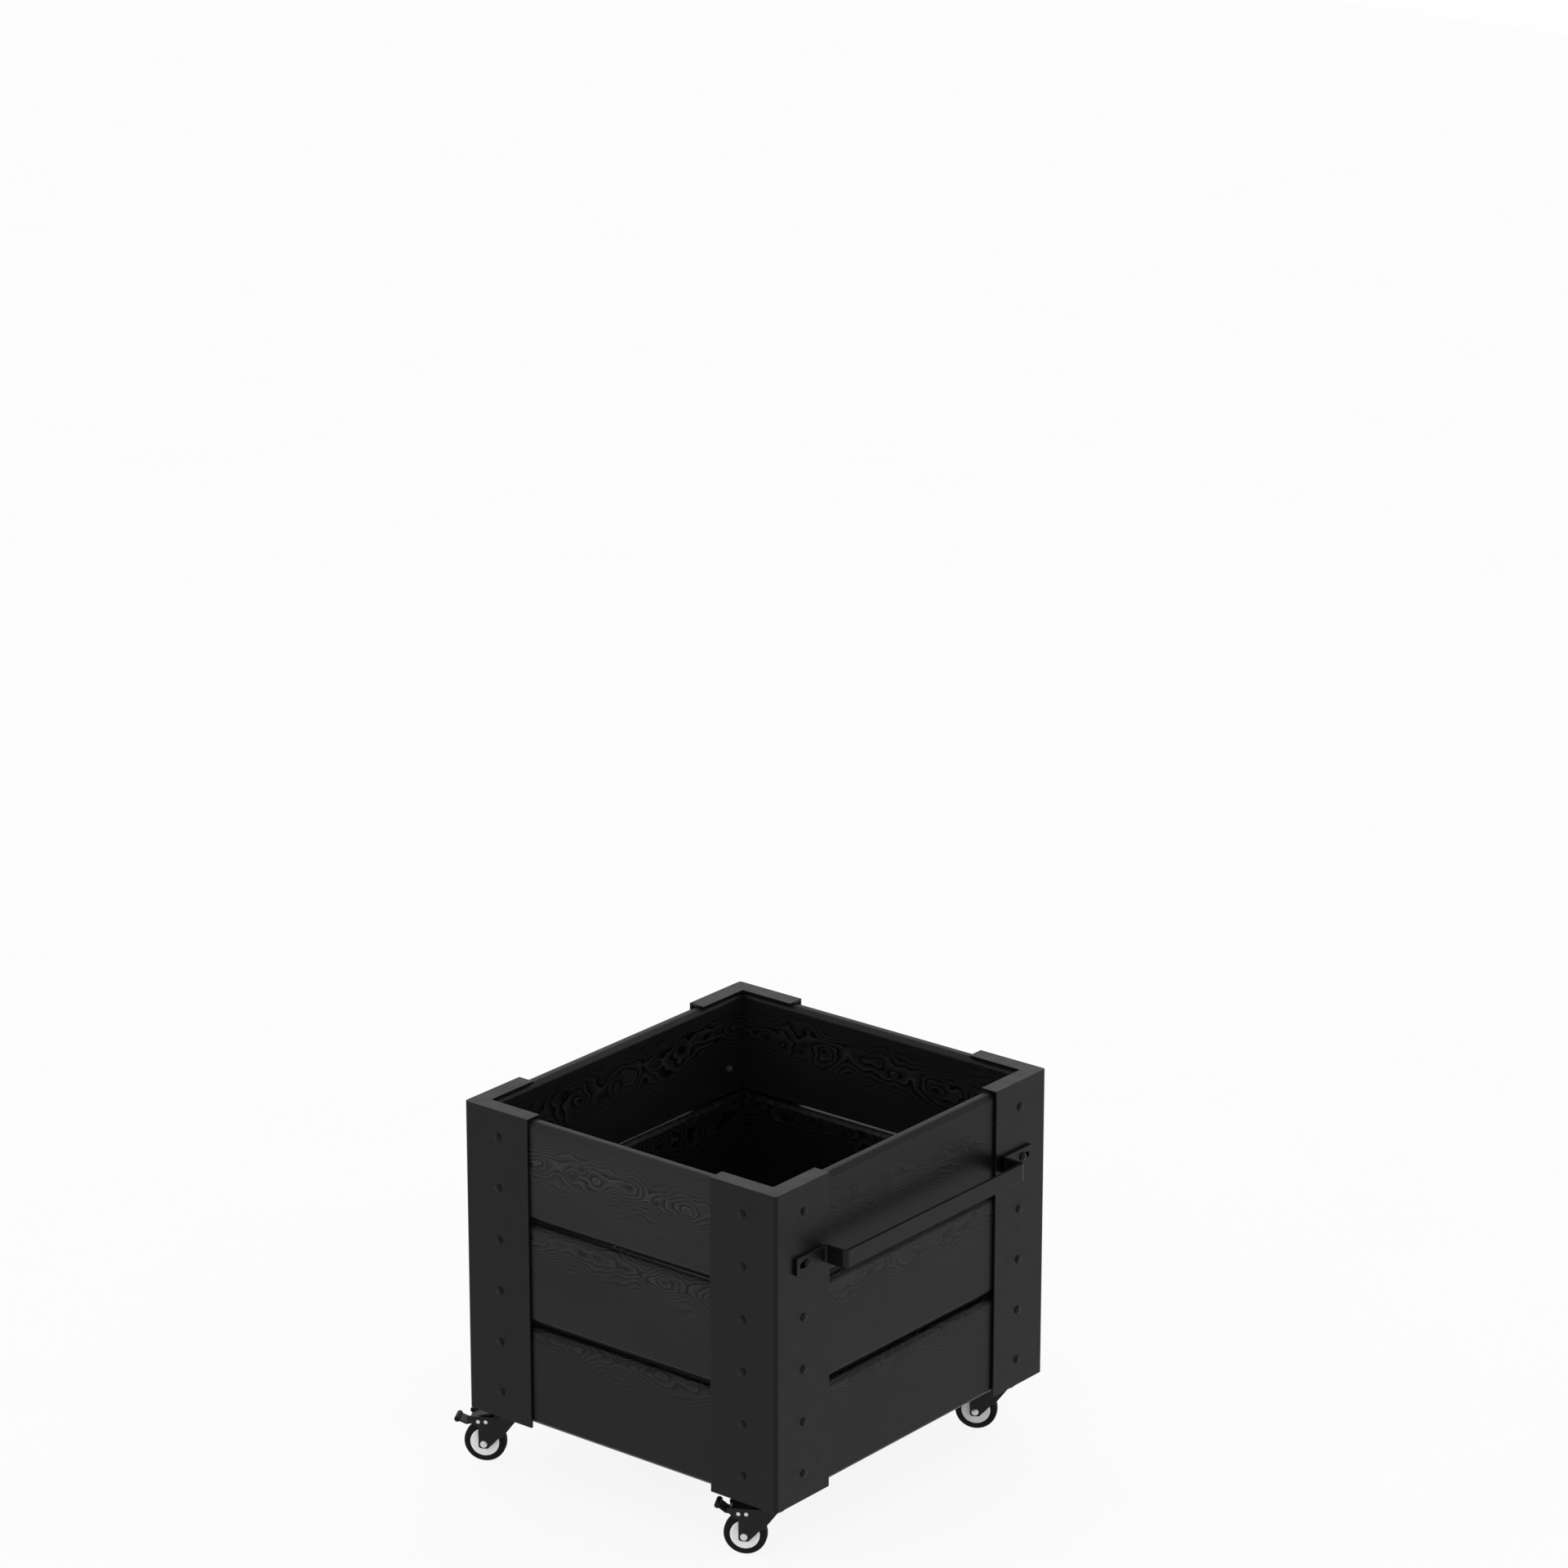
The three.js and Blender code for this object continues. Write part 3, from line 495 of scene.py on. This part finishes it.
PAINT = coated_metal("frame_coat", 0.0035, 0.39, gloss=0.18, wear=0.3)
STRAP = coated_metal("strap_coat", 0.0035, 0.39, gloss=0.18, wear=0.15)
BLACK = coated_metal("caster_coat", 0.005, 0.45, gloss=0.22, grain=1400, wear=0.3)
BOLT = coated_metal("bolt_coat", 0.003, 0.38, gloss=0.16, grain=2200)
ZINC = coated_metal("zinc_plate", 0.66, 0.34, metal=0.6, gloss=0.5, grain=2600)
NUT = coated_metal("nut_zinc", 0.035, 0.42, metal=0.3, gloss=0.3, grain=2600)
HUB = moulded("hub_nylon", 0.95, 0.38, spread=0.03)
TYRE = moulded("tyre_rubber", 0.004, 0.62, gloss=0.16, grain=1500, spread=0.2)
PEDAL = moulded("pedal_plastic", 0.003, 0.42, gloss=0.2, grain=1800, spread=0.2)
BOARDS = timber("stained_pine", 0.0078, 1.8)
FLOOR = timber("floor_pine", 0.0055, 0.7)

# The height of each row's heart line, as a part of the board's height, from the top row down.
HEART = (0.62, 0.85, 0.97)
# How strongly the stain's colour shows on each board, from the top row down. On the front and right walls
# this is painted light and shade, which lightens or darkens each board as it looks under the studio light;
# on the back and left walls it only varies the tone from board to board.
BOARD_TONE_AND_PAINTED_SHADE = {
    "front": (1.6, 1.2, 0.75),
    "right": (0.45, 0.75, 0.6),
    "back": (1.2, 0.8, 1.0),
    "left": (1.1, 0.9, 0.8),
}

# ------------------------------------------------------------------ walls

def board_top(row):
    return BOARD_TOP - row * BOARD_PITCH


def figure_start(w, row):
    """Metres along an endless figure at which a wall board is cut, so that no two are alike."""
    return 3.1 * w + 1.7 * row + 0.4


def board(w, row):
    top = board_top(row)
    low = top - BOARD_HEIGHT
    foot = low - (LOWER_REACH if row < ROWS - 1 else 0)
    section = rounded([
        (BOARD_OUT + BOARD_BEVEL, top), (BOARD_OUT, top - BOARD_BEVEL),
        (BOARD_OUT, low + BOARD_BEVEL), (BOARD_OUT + BOARD_BEVEL, foot),
        (BOARD_IN - BOARD_ARRIS, foot), (BOARD_IN, foot + BOARD_ARRIS),
        (BOARD_IN, top - BOARD_BEVEL), (BOARD_IN - BOARD_BEVEL, top),
    ], BOARD_EASE, 4)
    # The side walls' boards run past the ends of the others.
    half = wall_length(w) / 2 - (BOARD_OUT if has_handle(w) else BOARD_IN + SEAT)
    bm = bmesh.new()
    prism(bm, section, "x", -half, half)
    return bm


for w, wall in enumerate(WALLS):
    m = wall_matrix(w)
    to_board = TO_METRES @ m.inverted()
    for row in range(ROWS):
        heart = board_top(row) - BOARD_HEIGHT * (1 - HEART[row])
        grain = (to_board, (figure_start(w, row), 0, -heart * MM), BOARD_TONE_AND_PAINTED_SHADE[wall][row])
        piece(f"timber_{wall}_{row + 1}", board(w, row), m, BOARDS, "planter_box",
              [f"board_{wall}_{row + 1}"], bevel=0.5, grain=grain)

# ------------------------------------------------------------------ corner posts

def corner_solid(points, low, high):
    """A solid in a corner's frame, whose plan starts with the post's fold."""
    bm = bmesh.new()
    prism(bm, arc(BEND, BEND, BEND, 180, 270, 10) + points, "z", low, high)
    return bm


def angle_plan(thickness):
    return [(LEG_WIDTH, 0), (LEG_WIDTH, thickness), (thickness, thickness),
            (thickness, LEG_WIDTH), (0, LEG_WIDTH)]


def make_post():
    column = corner_solid(angle_plan(SHEET), FOOT, TOP)
    flange = corner_solid(angle_plan(BOARD_IN), TOP - SHEET, TOP)
    base = corner_solid([(FOOT_PLATE, 0), (FOOT_PLATE, FOOT_PLATE), (0, FOOT_PLATE)], FOOT, FOOT + SHEET)
    return boolean(column, [flange, base], "UNION")


def screw_heights(w):
    """Heights of the board screws at one end of a wall. A handle's bolt takes the place of one."""
    heights = []
    for row in range(ROWS):
        heights.append(board_top(row) - SCREW_EDGE)
        if not (has_handle(w) and row == 0):
            heights.append(board_top(row) - BOARD_HEIGHT + SCREW_EDGE)
    return heights


def make_screw_heads(w):
    """The heads on both faces of the post at the start of wall w."""
    bm = bmesh.new()
    head = dome(SCREW_RADIUS, SCREW_HEIGHT, HEAD_RIM)
    for z in screw_heights(w):
        lathe(bm, head, 28, move(SCREW_INSET, 0, z))
    turn = Matrix.Rotation(-math.pi / 2, 4, "Z")
    for z in screw_heights(w - 1):
        lathe(bm, head, 28, move(0, SCREW_INSET, z) @ turn)
    return bm


for w, corner in enumerate(CORNERS):
    m = wall_matrix(w) @ move(-wall_length(w) / 2, 0, 0)
    piece(f"post_{corner}", make_post(), m, PAINT, "planter_box",
          [f"corner_post_{corner}"], bevel=0.7, segments=3)
    piece(f"screw_heads_{corner}", make_screw_heads(w), m, BOLT, "planter_box")

# ------------------------------------------------------------------ handles

def strap_plan(length):
    arm, end = length / 2 - ARM_INSET, length / 2 - END_INSET
    front_bend = (arm - STRAP_BEND, STRAP_BEND - STRAP_REACH)
    foot_bend = (arm + FOOT_BEND, -SEAT - STRAP_THICKNESS - FOOT_BEND)
    half = arc(*front_bend, STRAP_BEND, -90, 0, 8) + arc(*foot_bend, FOOT_BEND, 180, 90, 6)
    half += [(end, -SEAT - STRAP_THICKNESS), (end, -SEAT)]
    half += arc(*foot_bend, FOOT_BEND + STRAP_THICKNESS, 90, 180, 8)
    half += arc(*front_bend, STRAP_BEND - STRAP_THICKNESS, 0, -90, 6)
    return half + [(-x, y) for x, y in reversed(half)]


def make_strap(w):
    bm = bmesh.new()
    prism(bm, strap_plan(wall_length(w)), "z", STRAP_Z - STRAP_HEIGHT / 2, STRAP_Z + STRAP_HEIGHT / 2)
    radius = SLOT_HEIGHT / 2
    reach = SLOT_LENGTH / 2 - radius
    slots = []
    for bolt_x in bolt_places(w):
        x = bolt_x + math.copysign(SLOT_OUTSET, bolt_x)
        slot = bmesh.new()
        ends = arc(x + reach, STRAP_Z, radius, -90, 90, 8) + arc(x - reach, STRAP_Z, radius, 90, 270, 8)
        prism(slot, ends, "y", -STRAP_THICKNESS - 3, 2)  # right through the foot
        slots.append(slot)
    return boolean(bm, slots)


def bolt_places(w):
    inset = wall_length(w) / 2 - SCREW_INSET
    return [-inset, inset]


def make_bolt(x):
    bm = bmesh.new()
    profile = dome(BOLT_HEAD_RADIUS, BOLT_HEAD_HEIGHT, BOLT_HEAD_RIM)
    profile += [(BOLT_RADIUS, 0), (BOLT_RADIUS, BOLT_LENGTH), (0, BOLT_LENGTH)]
    lathe(bm, profile, 32, move(x, -SEAT - STRAP_THICKNESS - SEAT, STRAP_Z))
    return bm


def make_nut(x):
    """A domed nut: a washer face, a hexagon and a cap."""
    bm = bmesh.new()
    hexagon = arc(x, STRAP_Z, 5.9, 0, 300, 5)
    prism(bm, hexagon, "y", BOARD_IN + 0.9, BOARD_IN + 4.2)
    cap = [(4.9 * math.cos(t), 3.9 + 3.0 * math.sin(t)) for t in np.linspace(0.15, 1.4, 7)]
    profile = [(0, 0), (6.1, 0), (6.1, 0.7), (5.0, 1.0), (4.9, 3.9)] + cap + [(0, 6.95)]
    lathe(bm, profile, 32, move(x, BOARD_IN + SEAT, STRAP_Z))
    return bm


for w, wall in enumerate(WALLS):
    if not has_handle(w):
        continue
    m = wall_matrix(w)
    piece(f"strap_{wall}", make_strap(w), m, STRAP, "planter_box",
          [f"handle_{wall}"], bevel=0.6, segments=3)
    for end, x in enumerate(bolt_places(w)):
        corner = CORNERS[(w + end) % 4]
        piece(f"bolt_{corner}", make_bolt(x), m, BOLT, "planter_box", [f"handle_bolt_{corner}"])
        piece(f"nut_{corner}", make_nut(x), m, NUT, "planter_box", [f"handle_nut_{corner}"])

# ------------------------------------------------------------------ floor

def slat_centres():
    inside = DEPTH - 2 * BOARD_IN
    gap = (inside - SLATS * SLAT_WIDTH) / (SLATS + 1)
    start = SHIFT - inside / 2 + gap + SLAT_WIDTH / 2
    return [start + k * (SLAT_WIDTH + gap) for k in range(SLATS)]


def make_slat(y):
    bm = bmesh.new()
    half = WIDTH / 2 - BOARD_IN - SLAT_END
    prism(bm, bar_section(y, FLOOR_LOW, SLAT_WIDTH, SLAT_THICKNESS, 2.5, 4), "x", -half, half)
    return bm


def make_bearer(x):
    bm = bmesh.new()
    half = DEPTH / 2 - BOARD_IN - BEARER_END
    section = bar_section(x, BEARER_LOW, BEARER_WIDTH, BEARER_HEIGHT, 2, 3)
    prism(bm, section, "y", SHIFT - half, SHIFT + half)
    return bm


def make_floor_screws():
    """Flat heads in the slats: radius and height above the wood, from the recess in the middle."""
    bm = bmesh.new()
    head = [(0, 0.05), (1.1, 0.05), (1.5, 0.35), (3.9, 0.35), (4.2, 0)]
    edge = SLAT_WIDTH / 2 - FLOOR_SCREW_EDGE
    for x in (-BEARER_X, BEARER_X):
        for y in slat_centres():
            for beside in (-edge, edge):
                lathe(bm, head, 20, move(x, y + beside, FLOOR_TOP), "z")
    return bm


# These turn metres in the box into metres along, into and up the face of a slat or a bearer.
SLAT_AXES = Matrix(((1, 0, 0, 0), (0, 0, 1, 0), (0, 1, 0, 0), (0, 0, 0, 1)))
BEARER_AXES = Matrix(((0, 1, 0, 0), (1, 0, 0, 0), (0, 0, 1, 0), (0, 0, 0, 1)))

for k, y in enumerate(slat_centres()):
    to_slat = move(0, -FLOOR_LOW * MM, -y * MM) @ SLAT_AXES
    piece(f"deck_{k + 1}", make_slat(y), TO_METRES, FLOOR, "planter_box",
          [f"floor_slat_{k + 1}"], bevel=0.5, grain=(to_slat, (20.3 + 1.9 * k, 0, 0.01)))
for side, name in ((-1, "left"), (1, "right")):
    piece(f"bearer_{name}", make_bearer(side * BEARER_X), TO_METRES, FLOOR, "planter_box",
          [f"floor_bearer_{name}"], bevel=0.5, grain=(BEARER_AXES, (31 + 2 * side, 0, -0.12)))
piece("floor_screw_heads", make_floor_screws(), TO_METRES, ZINC, "planter_box")

# ------------------------------------------------------------------ casters

# Side views of a fork leg and of a released pedal.
FORK_LEG = [
    (-7.8, -4.5), (-5, -7.2), (5.6, -7.2), (18.6, 6.5), (JOGGLE_END, 9.5), (25.5, 9.5), (31, 17),
    (49, FORK_TOP), (-24, FORK_TOP), (-24, 36), (-14, 27), (-7.8, 24),
]
PEDAL_SIDE = [
    (-38.2, 40.8), (-26.3, 31.8), (-10.6, 31), (-4.6, 31.8), (-2.6, 36.2), (12, 36.2), (12, 39.5),
    (9, 41), (-18, 41), (-24.7, 33.8), (-36.6, 42.8),
]
# Half profiles of the wheel's two pieces: radius and distance from its middle plane.
HUB_HALF = [
    (3.4, 12), (6.9, 12), (7.5, 11.4), (7.7, 8.9), (8.6, 8.05), (16.6, 8.05), (17.6, 8.65), (20.1, 8.65),
    (20.5, 8.2),
]
TYRE_HALF = [
    (20.8, 7.4), (21.3, 7.8), (25.8, 8.0), (27.6, 7.7), (28.9, 6.8), (29.7, 5.3), (30, 3.4), (30, 1.1),
    (29.6, 0.8),
]


def joggled(x):
    """Distance of a fork leg's inner face from the wheel's middle plane, eased over the joggle."""
    t = min(max((x - JOGGLE_START) / (JOGGLE_END - JOGGLE_START), 0), 1)
    return FORK_INNER - JOGGLE * t * t * (3 - 2 * t)


def add_leg(bm, side, steps=8):
    """One leg of the fork: a flat outline, cut across at the joggle and given the sheet's thickness."""
    flat = bmesh.new()
    flat.faces.new([flat.verts.new((x, 0, z)) for x, z in rounded(FORK_LEG, 1.2, 3)])
    for k in range(steps + 1):
        x = JOGGLE_START + (JOGGLE_END - JOGGLE_START) * k / steps
        bmesh.ops.bisect_plane(flat, geom=flat.verts[:] + flat.edges[:] + flat.faces[:],
                               plane_co=(x, 0, 0), plane_no=(1, 0, 0))
    flat.verts.index_update()
    inner, outer = [
        [bm.verts.new((v.co.x, side * (joggled(v.co.x) + thickness), v.co.z)) for v in flat.verts]
        for thickness in (0, FORK_SHEET)
    ]
    for face in flat.faces:
        ids = [v.index for v in face.verts]
        bm.faces.new([inner[i] for i in ids])
        bm.faces.new([outer[i] for i in reversed(ids)])
    for edge in flat.edges:
        if edge.is_boundary:
            a, b = edge.verts[0].index, edge.verts[1].index
            bm.faces.new((inner[a], inner[b], outer[b], outer[a]))
    flat.free()


def make_fork():
    """Two legs, the crown between them and the cup of the lower race."""
    bm = bmesh.new()
    for side in (-1, 1):
        add_leg(bm, side)
    inset = 0.1  # keeps the crown's faces off the legs'
    wide = FORK_OUTER - inset
    narrow = wide - JOGGLE
    crown = [(JOGGLE_START, -wide), (JOGGLE_END, -narrow), (TRAIL, -narrow)]
    crown += [(x, -y) for x, y in reversed(crown)]
    prism(bm, crown, "z", FORK_TOP - FORK_SHEET + inset, FORK_TOP)
    low, high = FORK_TOP - FORK_SHEET, RACE_LOW - RACE_CLEARANCE - WHEEL_RADIUS
    cup = [(RACE_BORE, low), (RACE_RADIUS - 0.6, low), (RACE_RADIUS, low + 0.6), (RACE_RADIUS, high - 1.8),
           (RACE_RADIUS - 0.6, high - 0.6), (RACE_RADIUS - 1.8, high), (RACE_BORE, high), (RACE_BORE, low)]
    lathe(bm, cup, 48, move(TRAIL, 0, 0), "z")
    return bm


def make_pin(x, z, under, radius, height, shank):
    """A pin across the fork, with a domed cap at each end that stands on a face at under."""
    bm = bmesh.new()
    for side in (-1, 1):
        cap = [(shank, 0)] if shank else []
        cap += [(radius, 0)]
        cap += [(radius * math.cos(t), side * height * (0.25 + 0.75 * math.sin(t)))
                for t in np.linspace(0, 1.35, 8)]
        cap += [(0, side * height)]
        lathe(bm, cap, 24, move(x, side * under, z))
    if shank:
        lathe(bm, [(shank, -under), (shank, under)], 24, move(x, 0, z))
    return bm


def make_ring(half, segments):
    """A closed ring about the axle from half of its profile."""
    bm = bmesh.new()
    profile = [(r, -y) for r, y in half] + [(r, y) for r, y in reversed(half)]
    lathe(bm, profile + profile[:1], segments)
    return bm


def make_pedal(pressed):
    """A pedal with a grooved lip and the tube that its pin goes through."""
    bm = bmesh.new()
    prism(bm, rounded(PEDAL_SIDE, 0.8, 3), "y", -PEDAL_HALF, PEDAL_HALF)
    lip = [(0, -PEDAL_HALF), (LIP_RADIUS - 0.8, -PEDAL_HALF), (LIP_RADIUS, 0.8 - PEDAL_HALF)]
    for k in range(-4, 5):
        groove = LIP_PITCH * k
        lip += [(LIP_RADIUS, groove - 0.7), (LIP_RADIUS - 0.3, groove - 0.35),
                (LIP_RADIUS - 0.3, groove + 0.35), (LIP_RADIUS, groove + 0.7)]
    lip += [(LIP_RADIUS, PEDAL_HALF - 0.8), (LIP_RADIUS - 0.8, PEDAL_HALF), (0, PEDAL_HALF)]
    lathe(bm, lip, 32, move(LIP_X, 0, LIP_Z))
    tube = [(0, -PEDAL_HALF), (PEDAL_HUB_RADIUS, -PEDAL_HALF),
            (PEDAL_HUB_RADIUS, PEDAL_HALF), (0, PEDAL_HALF)]
    pivot = move(PIVOT_X, 0, BRAKE_PIN_Z)
    lathe(bm, tube, 32, pivot)
    if pressed:
        bm.transform(pivot @ Matrix.Rotation(math.radians(-PEDAL_PRESS), 4, "Y") @ pivot.inverted())
    return bm


def make_mount():
    """Mounting plate, upper race, kingpin and bolts, from the ground under the swivel axis."""
    bm = bmesh.new()
    low, high = PLATE_LOW, PLATE_LOW + MOUNT_SHEET
    corner = MOUNT_PLATE / 2 - MOUNT_CORNER
    square = []
    for cx, cy, start in ((1, -1, -90), (1, 1, 0), (-1, 1, 90), (-1, -1, 180)):
        square += arc(cx * corner, cy * corner, MOUNT_CORNER, start, start + 90, 6)
    prism(bm, square, "z", low, high)
    race = [(0, low + 0.5), (RACE_RADIUS, low + 0.5), (RACE_RADIUS, RACE_LOW + 2.4),
            (RACE_RADIUS - 0.6, RACE_LOW + 0.8), (RACE_RADIUS - 2, RACE_LOW), (RACE_BORE, RACE_LOW),
            (0, RACE_LOW)]
    lathe(bm, race, 48, axis="z")
    kingpin = [(KINGPIN_RADIUS, low), (KINGPIN_RADIUS, KINGPIN_TOP), (KINGPIN_HEAD, KINGPIN_TOP),
               (KINGPIN_HEAD, KINGPIN_LOW + 1), (KINGPIN_HEAD - 0.9, KINGPIN_LOW + 0.1),
               (3, KINGPIN_LOW), (0, KINGPIN_LOW + 0.4)]
    lathe(bm, kingpin, 32, axis="z")
    head = dome(MOUNT_HEAD_RADIUS, MOUNT_HEAD_HEIGHT, HEAD_RIM, 7)
    shank = [(MOUNT_BOLT_RADIUS, high), (MOUNT_BOLT_RADIUS, FOOT + SHEET), (0, FOOT + SHEET)]
    for x in (-MOUNT_BOLTS / 2, MOUNT_BOLTS / 2):
        for y in (-MOUNT_BOLTS / 2, MOUNT_BOLTS / 2):
            lathe(bm, head, 24, move(x, y, low), "z")
            lathe(bm, shank, 24, move(x, y, 0), "z")
    return bm


for index, corner in enumerate(CORNERS):
    m = caster_matrix(index)
    swivel, wheel, brake = f"swivel_{corner}", f"wheel_{corner}", f"brake_{corner}"
    piece(f"fork_{corner}", make_fork(), m, BLACK, swivel,
          [f"caster_fork_{corner}"], bevel=0.35)
    stop_pin = make_pin(STOP_X, BRAKE_PIN_Z, FORK_OUTER + 0.02, PIN_HEAD_RADIUS, PIN_HEAD_HEIGHT, 0)
    piece(f"stop_pin_{corner}", stop_pin, m, ZINC, swivel)
    pivot_pin = make_pin(PIVOT_X, BRAKE_PIN_Z, FORK_OUTER + SEAT, PIN_HEAD_RADIUS, PIN_HEAD_HEIGHT,
                         PIVOT_RADIUS)
    piece(f"pivot_pin_{corner}", pivot_pin, m, ZINC, swivel, [f"brake_pivot_pin_{corner}"])
    axle = make_pin(0, 0, FORK_OUTER + SEAT, AXLE_CAP_RADIUS, AXLE_CAP_HEIGHT, AXLE_RADIUS)
    piece(f"axle_pin_{corner}", axle, m, ZINC, swivel, [f"axle_{corner}"])
    piece(f"hub_{corner}", make_ring(HUB_HALF, 64), m, HUB, wheel, [f"wheel_hub_{corner}"])
    piece(f"tread_{corner}", make_ring(TYRE_HALF, 96), m, TYRE, wheel, [f"tyre_{corner}"])
    # At rest, only the front left brake is pressed.
    piece(f"pedal_{corner}", make_pedal(corner == "front_left"), m, PEDAL, brake,
          [f"brake_pedal_{corner}"], bevel=0.35)
    piece(f"mount_plate_{corner}", make_mount(), TO_METRES @ swivel_place(index), BLACK, "planter_box",
          [f"caster_plate_{corner}"])

# ------------------------------------------------------------------ studio floor and light

WHITE = 0.991  # of the background as it is seen
LIGHT = 0.95  # of the world as it lights the object


def pale_floor(half):
    mesh = bpy.data.meshes.new("ground")
    corners = [(-half, -half, 0), (half, -half, 0), (half, half, 0), (-half, half, 0)]
    mesh.from_pydata(corners, [], [(0, 1, 2, 3)])
    n = Nodes(bpy.data.materials.new("pale_floor"))
    n.set(Base_Color=n.mix(n.swing(n.noise(3, 3, n.place()), 0, 1), 0.88, 0.92), Roughness=0.9)
    # A tenth of the shaded floor stays in view, and with it the object's shadow.
    white = n.add("Emission", {"Color": (WHITE, WHITE, WHITE, 1), "Strength": 1.0})
    shaded = n.tree.nodes["Principled BSDF"].outputs[0]
    both = n.add("MixShader", {0: n.times(n.shows_background(), 0.9), 1: shaded, 2: white})
    n.tree.links.new(both, n.tree.nodes["Material Output"].inputs["Surface"])
    mesh.materials.append(n.owner)
    return link("ground", mesh)


def white_studio():
    n = Nodes(bpy.data.worlds.new("studio"))
    background = n.tree.nodes["Background"]
    n.put(background.inputs["Color"], (1, 1, 1, 1))
    n.put(background.inputs["Strength"], n.remap(n.shows_background(), 0, 1, LIGHT, WHITE))
    return n.owner


def area_lamp(name, direction, distance, size, watts, target=(0, 0, 0.3)):
    data = bpy.data.lights.new(name, "AREA")
    data.shape = "DISK"
    data.size = size
    data.energy = watts
    ob = link(name, data)
    towards = Vector(direction).normalized()
    ob.location = Vector(target) + towards * distance
    ob.rotation_euler = towards.to_track_quat("Z", "Y").to_euler()
    ob.visible_camera = False


scene = bpy.context.scene
floor_ob = pale_floor(9)
scene.world = white_studio()
area_lamp("back_soft", (-0.60, 0.75, 0.32), 4.0, 2.6, 2)

# ------------------------------------------------------------------ camera

AZIMUTH, ELEVATION = 38.905, 18.794  # degrees, fitted to the photo
DISTANCE = 18.314  # in heights of the box
ASIDE, ABOVE = 0.00439, 0.07509  # how far the photo's middle lies off the box's, per metre of distance
FOCAL_PIXELS, PHOTO_PIXELS = 7402.7, 1920
SENSOR = 36

az, el = math.radians(AZIMUTH), math.radians(ELEVATION)
back = Vector((math.sin(az) * math.cos(el), -math.cos(az) * math.cos(el), math.sin(el)))
right = Vector((math.cos(az), math.sin(az), 0))
above = back.cross(right)
distance = DISTANCE * (TOP - FOOT) * MM
camera = link("camera", bpy.data.cameras.new("camera"))
camera.data.sensor_fit = "HORIZONTAL"
camera.data.sensor_width = SENSOR
camera.data.lens = SENSOR * FOCAL_PIXELS / PHOTO_PIXELS
middle = Vector((0, SHIFT, (FOOT + TOP) / 2)) * MM
spot = middle + (back + right * ASIDE + above * ABOVE) * distance
turn = Matrix((right, above, back)).transposed().to_4x4()
camera.matrix_world = Matrix.Translation(spot) @ turn
scene.camera = camera
scene.view_settings.view_transform = "Standard"
